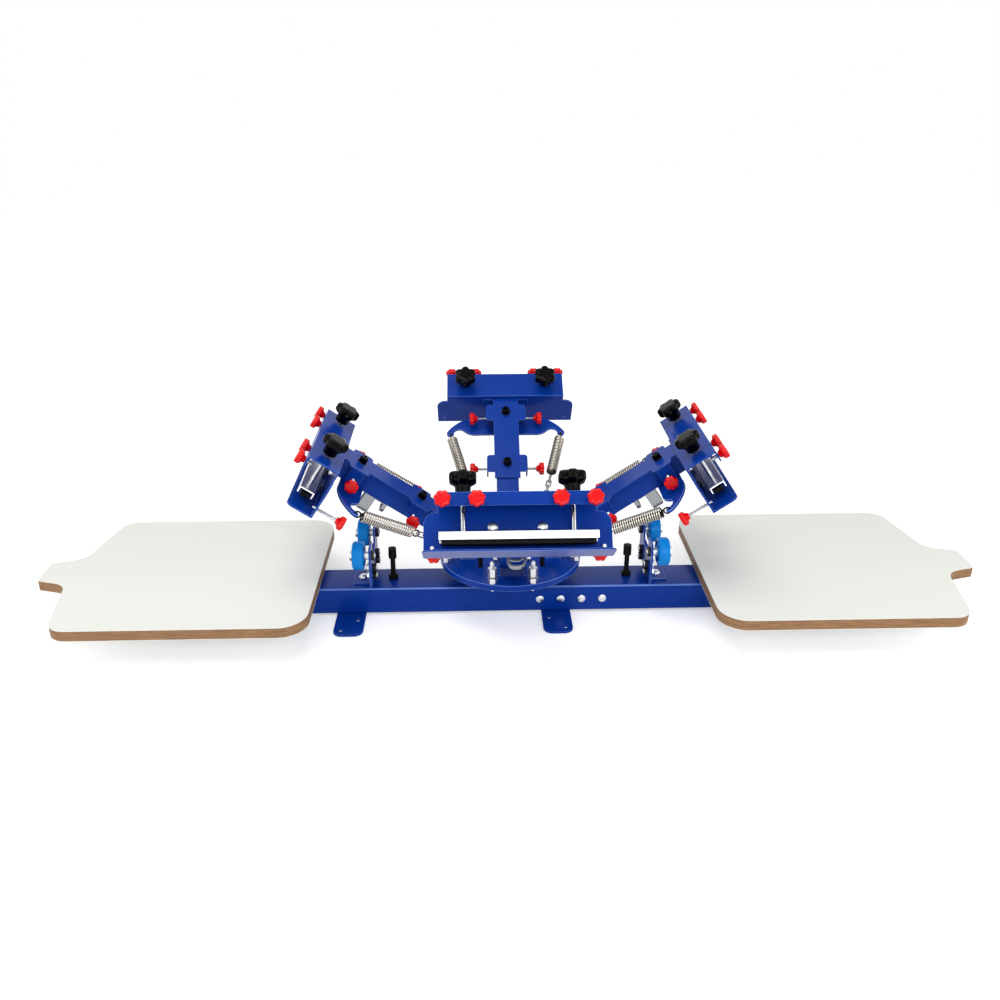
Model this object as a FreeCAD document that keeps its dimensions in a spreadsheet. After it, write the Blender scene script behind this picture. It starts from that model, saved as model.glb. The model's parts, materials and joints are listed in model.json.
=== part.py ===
import FreeCAD
import Part
import math
import os
import re
from FreeCAD import Placement, Rotation, Vector

# Tabletop screen printing press: four sprung screen arms on a turning carousel, two fixed boards.
# Millimetres. Z is up, X runs along the beam, Y points away from the operator.
# The origin is on the carousel's axis, in the plane of the table top.

SIZES = (
    # beam and feet
    ("beam_wide", 86), ("beam_high", 56), ("beam_wall", 3), ("beam_corner", 5), ("beam_reach", 700),
    ("splice_at", 120), ("splice_pitch", 41.5), ("sleeve_long", 170), ("splice_bolt_dia", 10),
    ("splice_head_dia", 16), ("splice_head_high", 5),
    ("foot_thick", 4), ("foot_wide", 58), ("foot_reach", 122), ("foot_round", 18), ("foot_hole_dia", 8.5),
    ("foot_left_at", 318), ("foot_right_at", 90), ("foot_end_at", 600),
    ("foot_hole_shift", 15), ("foot_hole_near", 67), ("foot_hole_far", 104),
    # bearing and carousel
    ("bearing_dia", 92), ("bearing_base_long", 130), ("bearing_base_thick", 6), ("disc_dia", 279),
    ("disc_thick", 12), ("disc_top_above", 56), ("king_dia", 20), ("king_washer_dia", 44),
    ("king_washer_thick", 3), ("king_nut_wide", 30), ("king_nut_high", 16),
    ("running_gap", 0.06), ("seat_gap", 0.3),
    ("pivot_out", 84), ("pivot_above", 89), ("pivot_dia", 12), ("pivot_head_wide", 19),
    ("pivot_head_high", 7), ("bracket_thick", 5), ("bracket_round", 14),
    ("stud_dia", 10), ("stud_out", 124), ("stud_side", 38), ("stud_below", 18), ("stud_above", 44),
    ("stud_nut_wide", 16), ("stud_nut_high", 14),
    ("post_at", 60), ("post_above", 33), ("post_dia", 8), ("post_ring_dia", 14), ("post_ring_high", 10),
    # registration gates
    ("gate_at", 295), ("roller_dia", 56), ("roller_wide", 22), ("roller_above", 79),
    ("roller_hub_dia", 24), ("roller_rim_dia", 42), ("roller_hub_deep", 3), ("axle_dia", 10),
    ("axle_head_wide", 17), ("axle_head_high", 6), ("gate_clearance", 0.4),
    ("spacer_dia", 16), ("spacer_long", 9),
    ("post_thick", 4), ("post_wide", 80), ("post_high", 60),
    ("gate_foot_long", 38), ("gate_foot_wide", 50),
    ("gate_plate_thick", 4), ("gate_plate_wide", 130), ("gate_plate_low", 16), ("gate_plate_high", 98),
    ("gate_notch_floor", 63), ("gate_notch_half", 26.5), ("gate_plate_round", 10), ("gate_notch_round", 14),
    ("gate_bolt_dia", 8), ("gate_bolt_side", 33), ("gate_bolt_low", 26), ("gate_nut_high", 8),
    ("gate_bolt_rise", 17), ("gate_bolt_wide", 13), ("gate_bolt_high", 5), ("gate_nut_dia", 16),
    # arm rests
    ("rest_at", 235), ("rest_stem_dia", 9.5), ("rest_head_dia", 16), ("rest_head_high", 22),
    ("rest_nut_wide", 17), ("rest_nut_high", 9),
    # boards
    ("board_gap", 377), ("board_long", 550), ("board_wide", 450), ("board_thick", 22),
    ("board_inner_round", 52),
    ("board_shoulder", 459), ("board_outer_round", 38), ("board_neck", 489), ("board_neck_half", 54),
    ("board_neck_round", 38), ("tab_half", 36.5), ("tab_round", 6),
    ("board_bracket_thick", 4), ("board_bracket_long", 240), ("board_bracket_wide", 140),
    ("board_bracket_from", 410),
    # arms
    ("lift_angle", 34.5), ("front_lift_angle", 39),
    ("tube_wide", 46), ("tube_below", 20), ("tube_above", 18), ("tube_wall", 2.5), ("tube_corner", 3),
    ("tube_root", 14), ("tube_cap", 3), ("lug_from", 32), ("lug_long", 16), ("lug_reach", 23),
    ("lug_thick", 5), ("station_outer", 257), ("station_inner", 124),
    ("horn_thick", 5), ("horn_front", 276), ("horn_back", 228),
    ("horn_tip_at", 232), ("horn_tip_side", 122),
    ("horn_tip_round", 8), ("horn_straight", 40), ("horn_web", 62),
    ("horn_hook_at", 238), ("horn_hook_side", 92),
    ("hook_dia", 5), ("hook_head_dia", 9), ("hook_head_high", 2.5), ("hook_above", 5),
    ("tongue_from", 172), ("tongue_long", 48), ("tongue_wide", 32), ("tongue_thick", 4), ("tongue_round", 13),
    ("tongue_inner_long", 8), ("tongue_inner_deep", 24),
    ("tongue_outer_long", 22), ("tongue_outer_deep", 42),
    ("spring_dia", 17), ("spring_wire", 2.6), ("spring_long", 108),
    ("spring_lead", 7), ("spring_seat_gap", 0.1),
    ("link_wide", 11), ("link_bar", 3),
    # screen carrier and head
    ("cover_wide", 54), ("cover_thick", 4), ("cover_from", 88), ("cover_end_half", 50), ("cover_end_below", 17),
    ("ear_side", 43), ("ear_long", 42), ("ear_round", 7), ("ear_thick", 3), ("ear_drop", 32),
    ("shift_travel", 6), ("slide_gap", 0.1),
    ("lock_dia", 8), ("lock_head_dia", 16), ("lock_head_high", 13),
    ("side_screw_dia", 6), ("side_knob_at", 67), ("side_screw_perp", 1),
    ("head_back", 294), ("sheet_thick", 3), ("head_top", 32), ("head_bottom", 60), ("head_wide", 302),
    ("shoulder_step", 23), ("shoulder_perp", 14), ("shoulder_round", 20),
    ("head_top_deep", 62), ("flange_deep", 22),
    ("lip_deep", 52), ("lip_corner", 12),
    ("clamp_rod_at", 325), ("clamp_rod_side", 87), ("clamp_rod_dia", 8),
    ("clamp_long", 250), ("clamp_deep", 30), ("clamp_high", 13), ("clamp_top_perp", 27),
    ("clamp_wall", 3),
    ("star_dia", 48), ("star_valley_dia", 36), ("star_high", 22),
    ("star_hub_dia", 26), ("star_hub_high", 12), ("star_clear", 6),
    ("frame_screw_dia", 8), ("frame_screw_in", 13), ("frame_screw_out", 6), ("frame_screw_near", 65),
    ("frame_screw_edge", 10), ("frame_screw_drop", 14),
    ("knob_dia", 27), ("knob_valley_dia", 19), ("knob_high", 12),
    ("corner_screw_edge", 14), ("corner_screw_above", 15), ("corner_screw_dia", 6), ("corner_screw_back", 44),
    ("corner_screw_tip", 6),
    ("cut_over", 10),
)

doc = FreeCAD.newDocument("screen_press")
sheet = doc.addObject("Spreadsheet::Sheet", "sizes")
for row, (alias, number) in enumerate(SIZES, start=1):
    sheet.set("A%d" % row, alias)
    sheet.set("B%d" % row, str(number))
    sheet.setAlias("B%d" % row, alias)
doc.recompute()

KNOB_LOBES = 7
HEX_SIDES = 6
STAR_LOBES = 6
SPRING_TURNS = 4
SCREW_SIDES = 8
COIL_STEPS = 2
CHAIN_LINKS = 6
HORN_TIP_TURNS = (50, 170, 290)
HORN_OUTER_BULGE_SHARE = 0.14
HORN_HOOK_BULGE_SHARE = -0.26
HORN_WEB_BULGE_SHARE = 0.12


def size(alias):
    """The number in the sheet's cell of that name."""
    return float(sheet.get(alias))


def bind(obj, prop, text):
    """Bind a property to an expression; every word with an underscore is a cell of the sheet."""
    obj.setExpression(prop, re.sub(r"\b([a-z]+_\w+)\b", r"sizes.\1", text))


def place(obj, spot, turn=None):
    """Put an object at three expressions, turned by a rotation."""
    obj.Placement = Placement(Vector(), turn or Rotation())
    for axis, text in zip("xyz", spot):
        bind(obj, "Placement.Base.%s" % axis, text)
    return obj


def block(name, low, high):
    """A box between two corners, each given as three expressions."""
    obj = doc.addObject("Part::Box", name)
    for prop, start, end in zip(("Length", "Width", "Height"), low, high):
        bind(obj, prop, "(%s) - (%s)" % (end, start))
    return place(obj, low)


TURNS = {
    "+Z": Rotation(),
    "-Z": Rotation(Vector(1, 0, 0), 180),
    "+X": Rotation(Vector(0, 1, 0), 90),
    "-X": Rotation(Vector(0, 1, 0), -90),
    "+Y": Rotation(Vector(1, 0, 0), -90),
    "-Y": Rotation(Vector(1, 0, 0), 90),
}


def rod(name, dia, length, spot, way="+Z"):
    """A round bar of a diameter and length that starts at spot and runs one way."""
    obj = doc.addObject("Part::Cylinder", name)
    bind(obj, "Radius", "(%s) / 2" % dia)
    bind(obj, "Height", length)
    return place(obj, spot, TURNS[way])


def prism(name, sides, across, high, spot, way="+Z"):
    """A bar with flat sides, its width given across the flats."""
    obj = doc.addObject("Part::Prism", name)
    obj.Polygon = sides
    bind(obj, "Circumradius", "(%s) / 2 / cos(180 deg / %d)" % (across, sides))
    bind(obj, "Height", high)
    return place(obj, spot, TURNS[way])


def hexagon(name, across, high, spot, way="+Z"):
    """A hexagonal head or nut, its width given across the flats."""
    return prism(name, HEX_SIDES, across, high, spot, way)


def screw(name, dia, length, spot, way="+Z"):
    """A threaded bar or its hole, eight sided because screws are many."""
    return prism(name, SCREW_SIDES, dia, length, spot, way)


def fuse(name, *parts):
    """One solid from several."""
    obj = doc.addObject("Part::MultiFuse", name)
    obj.Shapes = list(parts)
    obj.Refine = True
    return obj


def cut(name, base, *tools):
    """A solid less its tools."""
    obj = doc.addObject("Part::Cut", name)
    obj.Base = base
    obj.Tool = tools[0] if len(tools) == 1 else fuse(name + "_tools", *tools)
    obj.Refine = True
    return obj


def group(name, *parts):
    """Several separate solids that share one node."""
    obj = doc.addObject("Part::Compound", name)
    obj.Links = list(parts)
    return obj


def pad(name, plane, curves, length, offset="0"):
    """A body padded from closed curves on one of its own origin planes, offset along its normal."""
    body = doc.addObject("PartDesign::Body", name)
    sketch = body.newObject("Sketcher::SketchObject", name + "_sketch")
    origin_plane = [f for f in body.Origin.OriginFeatures if f.Role == plane][0]
    sketch.AttachmentSupport = (origin_plane, [""])
    sketch.MapMode = "FlatFace"
    bind(sketch, "AttachmentOffset.Base.z", offset)
    for curve in curves:
        sketch.addGeometry(curve, False)
    feature = body.newObject("PartDesign::Pad", name + "_pad")
    feature.Profile = sketch
    bind(feature, "Length", length)
    return body


def revolve(name, curves):
    """A body turned about the X axis from closed curves on its XY plane."""
    body = doc.addObject("PartDesign::Body", name)
    sketch = body.newObject("Sketcher::SketchObject", name + "_sketch")
    plane = [f for f in body.Origin.OriginFeatures if f.Role == "XY_Plane"][0]
    sketch.AttachmentSupport = (plane, [""])
    sketch.MapMode = "FlatFace"
    for curve in curves:
        sketch.addGeometry(curve, False)
    feature = body.newObject("PartDesign::Revolution", name + "_turn")
    feature.Profile = sketch
    feature.ReferenceAxis = ([f for f in body.Origin.OriginFeatures if f.Role == "X_Axis"][0], [""])
    feature.Angle = 360
    return body


def line(a, b):
    return Part.LineSegment(Vector(a[0], a[1], 0), Vector(b[0], b[1], 0))


def arc(a, mid, b):
    """An arc through three points of a sketch."""
    return Part.Arc(Vector(a[0], a[1], 0), Vector(mid[0], mid[1], 0), Vector(b[0], b[1], 0))


def polygon(points):
    """Straight lines through the points and back to the first."""
    return [line(a, b) for a, b in zip(points, points[1:] + points[:1])]


def rounded(points, rounds):
    """A closed outline whose corner at each point is an arc of the radius given for it."""
    curves, joints = [], []
    count = len(points)
    for i, (corner, radius) in enumerate(zip(points, rounds)):
        here = Vector(corner[0], corner[1], 0)
        before = Vector(points[i - 1][0], points[i - 1][1], 0) - here
        after = Vector(points[(i + 1) % count][0], points[(i + 1) % count][1], 0) - here
        before.normalize()
        after.normalize()
        if radius == 0:
            joints.append((here, here, None))
            continue
        half = before.getAngle(after) / 2
        reach = radius / math.tan(half)
        middle = (before + after).normalize() * (radius / math.sin(half) - radius)
        joints.append((here + before * reach, here + after * reach, here + middle))
    for i, (start, end, middle) in enumerate(joints):
        if middle is not None:
            curves.append(Part.Arc(start, middle, end))
        curves.append(Part.LineSegment(end, joints[(i + 1) % count][0]))
    return curves


def rectangle(low, high, radius=0):
    corners = [(low[0], low[1]), (high[0], low[1]), (high[0], high[1]), (low[0], high[1])]
    return rounded(corners, [radius] * len(corners))


def circle(centre, dia):
    return Part.Circle(Vector(centre[0], centre[1], 0), Vector(0, 0, 1), dia / 2)


BEAM_TOP = "(foot_thick + beam_high)"
BEAM_MIDDLE = "(foot_thick + beam_high / 2)"
beam_top = size("foot_thick") + size("beam_high")
nodes = {}


# Beam: two rectangular tubes that meet at a splice.
def beam_tube(name, start, end):
    half, low = size("beam_wide") / 2, size("foot_thick")
    wall = size("beam_wall")
    outer = rectangle((-half, low), (half, beam_top), size("beam_corner"))
    inner = rectangle((-half + wall, low + wall), (half - wall, beam_top - wall))
    return pad(name, "YZ_Plane", outer + inner, "(%s) - (%s)" % (end, start), start)


def splice_places(sides):
    return ["splice_at + (%g) * splice_pitch / 2" % share for share in sides]


def splice_holes(name, sides):
    return [screw("%s_hole_%d" % (name, i), "splice_bolt_dia + 2 * running_gap", "beam_wide / 2",
                (x, "-beam_wide / 2 - cut_over", BEAM_MIDDLE), "+Y")
            for i, x in enumerate(splice_places(sides))]


nodes["main_beam"] = cut("main_beam", beam_tube("main_beam_tube", "-beam_reach", "splice_at"),
                         *splice_holes("main_beam", (-3, -1)))

inside = ("-beam_wide / 2 + beam_wall", "foot_thick + beam_wall", "beam_wide / 2 - beam_wall",
          BEAM_TOP + " - beam_wall")
welded = block("sleeve_welded", ("splice_at", inside[0], inside[1]),
               ("splice_at + sleeve_long / 2", inside[2], inside[3]))
spigot = block("sleeve_spigot",
               ("splice_at - sleeve_long / 2", inside[0] + " + seat_gap", inside[1] + " + seat_gap"),
               ("splice_at + beam_wall", inside[2] + " - seat_gap", inside[3] + " - seat_gap"))
hollow = block("sleeve_hollow",
               ("splice_at - sleeve_long / 2 - cut_over",
                inside[0] + " + 2 * beam_wall", inside[1] + " + 2 * beam_wall"),
               ("splice_at + sleeve_long / 2 + cut_over",
                inside[2] + " - 2 * beam_wall", inside[3] + " - 2 * beam_wall"))
sleeve = fuse("extension_with_sleeve", beam_tube("extension_tube", "splice_at", "beam_reach"), welded, spigot)
nodes["extension_beam"] = cut("extension_beam", sleeve, hollow,
                              *splice_holes("extension_beam", (-3, -1, 1, 3)))

bolts = []
for i, x in enumerate(splice_places((-3, -1, 1, 3))):
    shank = screw("splice_shank_%d" % i, "splice_bolt_dia", "3 * beam_wall",
                (x, "-beam_wide / 2", BEAM_MIDDLE), "+Y")
    head = rod("splice_head_%d" % i, "splice_head_dia", "splice_head_high",
               (x, "-beam_wide / 2", BEAM_MIDDLE), "-Y")
    bolts.append(fuse("splice_bolt_%d" % i, shank, head))
nodes["splice_bolts"] = group("splice_bolts", *bolts)

# Feet: flat plates across the beam, with two table bolt holes in each tab.
feet = []
for i, (at, lean) in enumerate((("-foot_left_at", -1), ("foot_right_at", 1),
                                ("-foot_end_at", -1), ("foot_end_at", 1))):
    half, reach = size("foot_wide") / 2, size("foot_reach")
    outline = rectangle((-half, -reach), (half, reach), size("foot_round"))
    for side in (-1, 1):
        for shift, far in ((-1, "foot_hole_near"), (1, "foot_hole_far")):
            spot = (lean * shift * size("foot_hole_shift"), side * size(far))
            outline.append(circle(spot, size("foot_hole_dia")))
    feet.append(place(pad("foot_%d" % i, "XY_Plane", outline, "foot_thick"), (at, "0", "0")))
nodes["foot_plates"] = group("foot_plates", *feet)

# Bearing: a welded pedestal on the beam and the bolt that the carousel turns on.
DISC_LOW = BEAM_TOP + " + disc_top_above - disc_thick"
DISC_TOP = BEAM_TOP + " + disc_top_above"
pedestal = fuse("pedestal_body",
                block("pedestal_base", ("-bearing_base_long / 2", "-beam_wide / 2", BEAM_TOP),
                      ("bearing_base_long / 2", "beam_wide / 2", BEAM_TOP + " + bearing_base_thick")),
                rod("pedestal_post", "bearing_dia", "disc_top_above - disc_thick - running_gap",
                    ("0", "0", BEAM_TOP)))
nodes["bearing_pedestal"] = cut("bearing_pedestal", pedestal,
                                rod("pedestal_bore", "king_dia", "disc_top_above", ("0", "0", BEAM_TOP)))
nodes["king_bolt"] = fuse(
    "king_bolt",
    rod("king_shank", "king_dia", "disc_top_above + king_washer_thick", ("0", "0", BEAM_TOP)),
    rod("king_washer", "king_washer_dia", "king_washer_thick", ("0", "0", DISC_TOP + " + running_gap")),
    hexagon("king_nut", "king_nut_wide", "king_nut_high",
            ("0", "0", DISC_TOP + " + running_gap + king_washer_thick")))

# Carousel: a disc with a pair of hinge brackets for each arm.
ARMS = (("right", 0, "lift_angle"), ("rear", 90, "lift_angle"),
        ("left", 180, "lift_angle"), ("front", 270, "front_lift_angle"))
PIVOT_Z = BEAM_TOP + " + pivot_above"


def spun(obj, angle):
    """The same object turned about the carousel's axis."""
    obj.Placement = Placement(Vector(), Rotation(Vector(0, 0, 1), angle))
    return obj


def on_disc(name, angle, parts):
    """Pieces made for the arm that points along X, turned to another arm's place."""
    return spun(group(name, *parts), angle)


brackets, bracket_holes, stud_holes, studs, pins = [], [], [], [], []
for arm, angle, lift in ARMS:
    plates, holes = [], []
    for side in (-1, 1):
        inner, outer = "tube_wide / 2 + seat_gap", "tube_wide / 2 + seat_gap + bracket_thick"
        low, high = (inner, outer) if side > 0 else ("-(%s)" % outer, "-(%s)" % inner)
        key = "%s_%s" % (arm, "a" if side < 0 else "b")
        web = block("bracket_web_" + key, ("pivot_out - bracket_round", low, DISC_TOP),
                    ("pivot_out + bracket_round", high, PIVOT_Z))
        eye = rod("bracket_eye_" + key, "2 * bracket_round", "bracket_thick",
                  ("pivot_out", low, PIVOT_Z), "+Y")
        plates.append(fuse("bracket_" + key, web, eye))
        stud_side = "(%d) * stud_side" % side
        holes.append(screw("stud_hole_" + key, "stud_dia + 2 * running_gap", "disc_thick + 2 * cut_over",
                         ("stud_out", stud_side, DISC_LOW + " - cut_over")))
        stud = fuse("level_stud_" + key,
                    screw("stud_rod_" + key, "stud_dia", "stud_below + stud_above",
                        ("stud_out", stud_side, DISC_TOP + " - stud_below")),
                    hexagon("stud_nut_" + key, "stud_nut_wide", "stud_nut_high",
                            ("stud_out", stud_side, DISC_TOP)))
        studs.append(spun(stud, angle))
    brackets.append(on_disc("brackets_" + arm, angle, plates))
    bore = rod("bracket_bore_" + arm, "pivot_dia + 2 * running_gap", "2 * (tube_wide + cut_over)",
               ("pivot_out", "-tube_wide - cut_over", PIVOT_Z), "+Y")
    bracket_holes.append(on_disc("bracket_bores_" + arm, angle, [bore]))
    stud_holes.append(on_disc("stud_holes_" + arm, angle, holes))
    reach = "tube_wide / 2 + seat_gap + bracket_thick"
    pin = fuse("pin_" + arm,
               rod("pin_rod_" + arm, "pivot_dia", "2 * (%s)" % reach,
                   ("pivot_out", "-(%s)" % reach, PIVOT_Z), "+Y"),
               hexagon("pin_head_" + arm, "pivot_head_wide", "pivot_head_high",
                       ("pivot_out", reach, PIVOT_Z), "+Y"),
               hexagon("pin_nut_" + arm, "pivot_head_wide", "pivot_head_high",
                       ("pivot_out", "-(%s)" % reach, PIVOT_Z), "-Y"))
    pins.append(spun(pin, angle))

for i in range(len(ARMS)):
    post = fuse("spring_post_%d" % i,
                screw("post_rod_%d" % i, "post_dia", "post_above", ("post_at", "post_at", DISC_TOP)),
                screw("post_ring_%d" % i, "post_ring_dia", "post_ring_high",
                    ("post_at", "post_at", DISC_TOP + " + post_above - post_ring_high")))
    studs.append(spun(post, ARMS[i][1]))
nodes["disc_studs"] = group("disc_studs", *studs)
nodes["pivot_pins"] = group("pivot_pins", *pins)
disc = rod("disc_plate", "disc_dia", "disc_thick", ("0", "0", DISC_LOW))
king_hole = rod("king_hole", "king_dia + 2 * running_gap", "disc_thick + 2 * cut_over",
                ("0", "0", DISC_LOW + " - cut_over"))
nodes["carousel_disc"] = cut("carousel_disc", fuse("disc_with_brackets", disc, *brackets),
                             king_hole, *(bracket_holes + stud_holes))

# Gates: a post and a notched plate that carries two rollers on each side of the carousel.
GATE_FACE = "(gate_at - roller_wide / 2 - slide_gap - spacer_long)"
ROLLER_SIDE = "(tube_wide / 2 + gate_clearance + roller_dia / 2)"
ROLLER_Z = BEAM_TOP + " + roller_above"
GATES = (("right", 0), ("left", 180))


def both_sides(name, make):
    """One piece for each gate; make returns the piece of the right gate."""
    return [spun(group("%s_%s" % (name, side), make(side)), angle) for side, angle in GATES]


def gate_holes(side):
    places = [(y, "%s + gate_bolt_low + %d * gate_bolt_rise" % (BEAM_TOP, step), "gate_bolt_dia")
              for y in ("-gate_bolt_side", "gate_bolt_side") for step in (0, 1)]
    places += [(y, ROLLER_Z, "axle_dia") for y in ("-" + ROLLER_SIDE, ROLLER_SIDE)]
    return places


def gate_drills(name, side):
    return [screw("%s_drill_%s_%d" % (name, side, i), dia + " + 2 * running_gap", "gate_at",
                (GATE_FACE + " - gate_at / 2", y, z), "+X")
            for i, (y, z, dia) in enumerate(gate_holes(side))]


def gate_post(side):
    upright = block("post_upright_" + side, (GATE_FACE, "-post_wide / 2", BEAM_TOP),
                    (GATE_FACE + " + post_thick", "post_wide / 2", BEAM_TOP + " + post_high"))
    foot = block("post_foot_" + side, (GATE_FACE, "-gate_foot_wide / 2", BEAM_TOP),
                 (GATE_FACE + " + gate_foot_long", "gate_foot_wide / 2", BEAM_TOP + " + post_thick"))
    return cut("post_" + side, fuse("post_blank_" + side, upright, foot), *gate_drills("post", side))


def roller_plate(side):
    half, low, high = size("gate_plate_wide") / 2, size("gate_plate_low"), size("gate_plate_high")
    notch, floor = size("gate_notch_half"), size("gate_notch_floor")
    corner, inner = size("gate_plate_round"), size("gate_notch_round")
    outline = [(-half, low), (half, low), (half, high), (notch, high),
               (notch, floor), (-notch, floor), (-notch, high), (-half, high)]
    rounds = [corner, corner, corner, 0, inner, inner, 0, corner]
    curves = rounded([(y, z + beam_top) for y, z in outline], rounds)
    plate = pad("roller_plate_blank_" + side, "YZ_Plane", curves, "gate_plate_thick",
                GATE_FACE + " - gate_plate_thick")
    return cut("roller_plate_" + side, plate, *gate_drills("plate", side))


def gate_bolt(side, i, y, z, dia):
    key = "%s_%d" % (side, i)
    inner = GATE_FACE + " - gate_plate_thick"
    if dia == "axle_dia":
        start, end = inner + " - axle_head_high", "gate_at + roller_wide / 2 + slide_gap"
        shank = rod("axle_rod_" + key, dia, "(%s) - (%s)" % (end, start), (start, y, z), "+X")
        head = hexagon("axle_head_" + key, "axle_head_wide", "axle_head_high", (end, y, z), "+X")
        nut = hexagon("axle_nut_" + key, "axle_head_wide", "axle_head_high", (inner, y, z), "-X")
        collar = screw("axle_collar_" + key, "spacer_dia", "spacer_long", (GATE_FACE, y, z), "+X")
        return fuse("axle_" + key, shank, head, nut, collar)
    outer = GATE_FACE + " + post_thick"
    shank = screw("gate_rod_" + key, dia, "post_thick + gate_plate_thick", (inner, y, z), "+X")
    head = hexagon("gate_head_" + key, "gate_bolt_wide", "gate_bolt_high", (outer, y, z), "+X")
    nut = screw("gate_nut_" + key, "gate_nut_dia", "gate_nut_high", (inner, y, z), "-X")
    return fuse("gate_bolt_" + key, shank, head, nut)


def gate_bolt_set(side):
    made = [gate_bolt(side, i, *spot) for i, spot in enumerate(gate_holes(side))]
    made.append(hexagon("foot_bolt_" + side, "axle_head_wide", "axle_head_high",
                        ("gate_at", "0", BEAM_TOP + " + post_thick")))
    return group("gate_bolt_set_" + side, *made)


nodes["gate_posts"] = group("gate_posts", *both_sides("gate_post", gate_post))
nodes["roller_plates"] = group("roller_plates", *both_sides("gate_plate", roller_plate))
nodes["gate_bolts"] = group("gate_bolts", *both_sides("gate_bolt", gate_bolt_set))

half, rim, hub = size("roller_wide") / 2, size("roller_rim_dia") / 2, size("roller_hub_dia") / 2
deep, bore, outer = size("roller_hub_deep"), size("axle_dia") / 2 + size("running_gap"), size("roller_dia") / 2
roller_profile = [(-half, bore), (-half, hub), (deep - half, rim), (-half, rim), (-half, outer),
                  (half, outer), (half, rim), (half - deep, rim), (half, hub), (half, bore)]
roller = revolve("roller", polygon(roller_profile))
for side, x in (("left", "-gate_at"), ("right", "gate_at")):
    for row, y in (("front", "-" + ROLLER_SIDE), ("rear", ROLLER_SIDE)):
        name = "roller_%s_%s" % (side, row)
        nodes[name] = place(group(name, roller), (x, y, ROLLER_Z))

# Arm rests: rubber headed studs that a lowered arm lies on.
REST_TOP = BEAM_TOP + " + pivot_above - tube_below - seat_gap"
rests = []
for i, x in enumerate(("-rest_at", "rest_at")):
    rests.append(fuse("rest_stem_%d" % i,
                      screw("rest_rod_%d" % i, "rest_stem_dia",
                          "pivot_above - tube_below - seat_gap - rest_head_high", (x, "0", BEAM_TOP)),
                      hexagon("rest_nut_%d" % i, "rest_nut_wide", "rest_nut_high", (x, "0", BEAM_TOP))))
    rests.append(rod("rest_head_%d" % i, "rest_head_dia", "rest_head_high",
                     (x, "0", REST_TOP + " - rest_head_high")))
nodes["arm_rests"] = group("arm_rests", *rests)

# Boards on their brackets.
half, tab = size("board_wide") / 2, size("tab_half")
neck, neck_half = size("board_neck"), size("board_neck_half")
board_points = [(0, -half), (size("board_shoulder"), -half), (neck, -neck_half), (size("board_long"), -tab),
                (size("board_long"), tab), (neck, neck_half), (size("board_shoulder"), half), (0, half)]
board_rounds = [size(word)
                for word in ("board_inner_round", "board_outer_round", "board_neck_round", "tab_round")]
board_rounds += board_rounds[::-1]
BOARD_LOW = BEAM_TOP + " + board_bracket_thick"
board = place(pad("board", "XY_Plane", rounded(board_points, board_rounds), "board_thick"),
              ("board_gap", "0", BOARD_LOW))
for side, angle in GATES:
    nodes["platen_" + side] = spun(group("platen_" + side, board), angle)
nodes["platen_brackets"] = group("platen_brackets", *both_sides("platen_bracket", lambda side: block(
    "bracket_plate_" + side, ("board_bracket_from", "-board_bracket_wide / 2", BEAM_TOP),
    ("board_bracket_from + board_bracket_long", "board_bracket_wide / 2", BOARD_LOW))))

# Arm pieces, made once in the arm's own frame: pivot at the origin, X along the arm, Z square to it.
TUBE_FRONT = "(head_back - sheet_thick - seat_gap)"
COVER_LOW = "(tube_above + slide_gap)"
COVER_TOP = "(tube_above + slide_gap + cover_thick)"


def mirrored(name, obj, *spots):
    """Copies of a piece made along +Z at the origin, each at a spot and pointing its own way."""
    return [place(group("%s_%d" % (name, i), obj), spot, TURNS[way]) for i, (spot, way) in enumerate(spots)]


half, low, high = size("tube_wide") / 2, -size("tube_below"), size("tube_above")
wall, corner = size("tube_wall"), size("tube_corner")
tube_curves = rectangle((-half, low), (half, high), corner)
tube_curves += rectangle((-half + wall, low + wall), (half - wall, high - wall))
lug_low = "(disc_top_above + stud_above - pivot_above + seat_gap)"
lugs = [block("lug_%s" % key, ("lug_from", start, lug_low),
              ("lug_from + lug_long", end, lug_low + " + lug_thick"))
        for key, start, end in (("a", "-tube_wide / 2 - lug_reach", "-tube_wide / 2"),
                                ("b", "tube_wide / 2", "tube_wide / 2 + lug_reach"))]
cap = block("tube_end", (TUBE_FRONT + " - tube_cap", "-tube_wide / 2 + tube_wall", "-tube_below + tube_wall"),
            (TUBE_FRONT, "tube_wide / 2 - tube_wall", "tube_above - tube_wall"))
arm_tube = cut("tube_piece",
               fuse("tube_blank",
                    pad("tube", "YZ_Plane", tube_curves, TUBE_FRONT + " + tube_root", "-tube_root"),
                    cap, *lugs),
               rod("tube_bore", "pivot_dia + 2 * running_gap", "2 * tube_wide",
                   ("0", "-tube_wide", "0"), "+Y"))


def bulge(a, b, share):
    """The middle of an arc from a to b that stands off its chord by a share of the chord."""
    across = (b[1] - a[1], a[0] - b[0])
    return ((a[0] + b[0]) / 2 + across[0] * share, (a[1] + b[1]) / 2 + across[1] * share)


def around(centre, radius, degrees):
    turn = math.radians(degrees)
    return (centre[0] + radius * math.cos(turn), centre[1] + radius * math.sin(turn))


def flip(point):
    return (point[0], -point[1])


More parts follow.
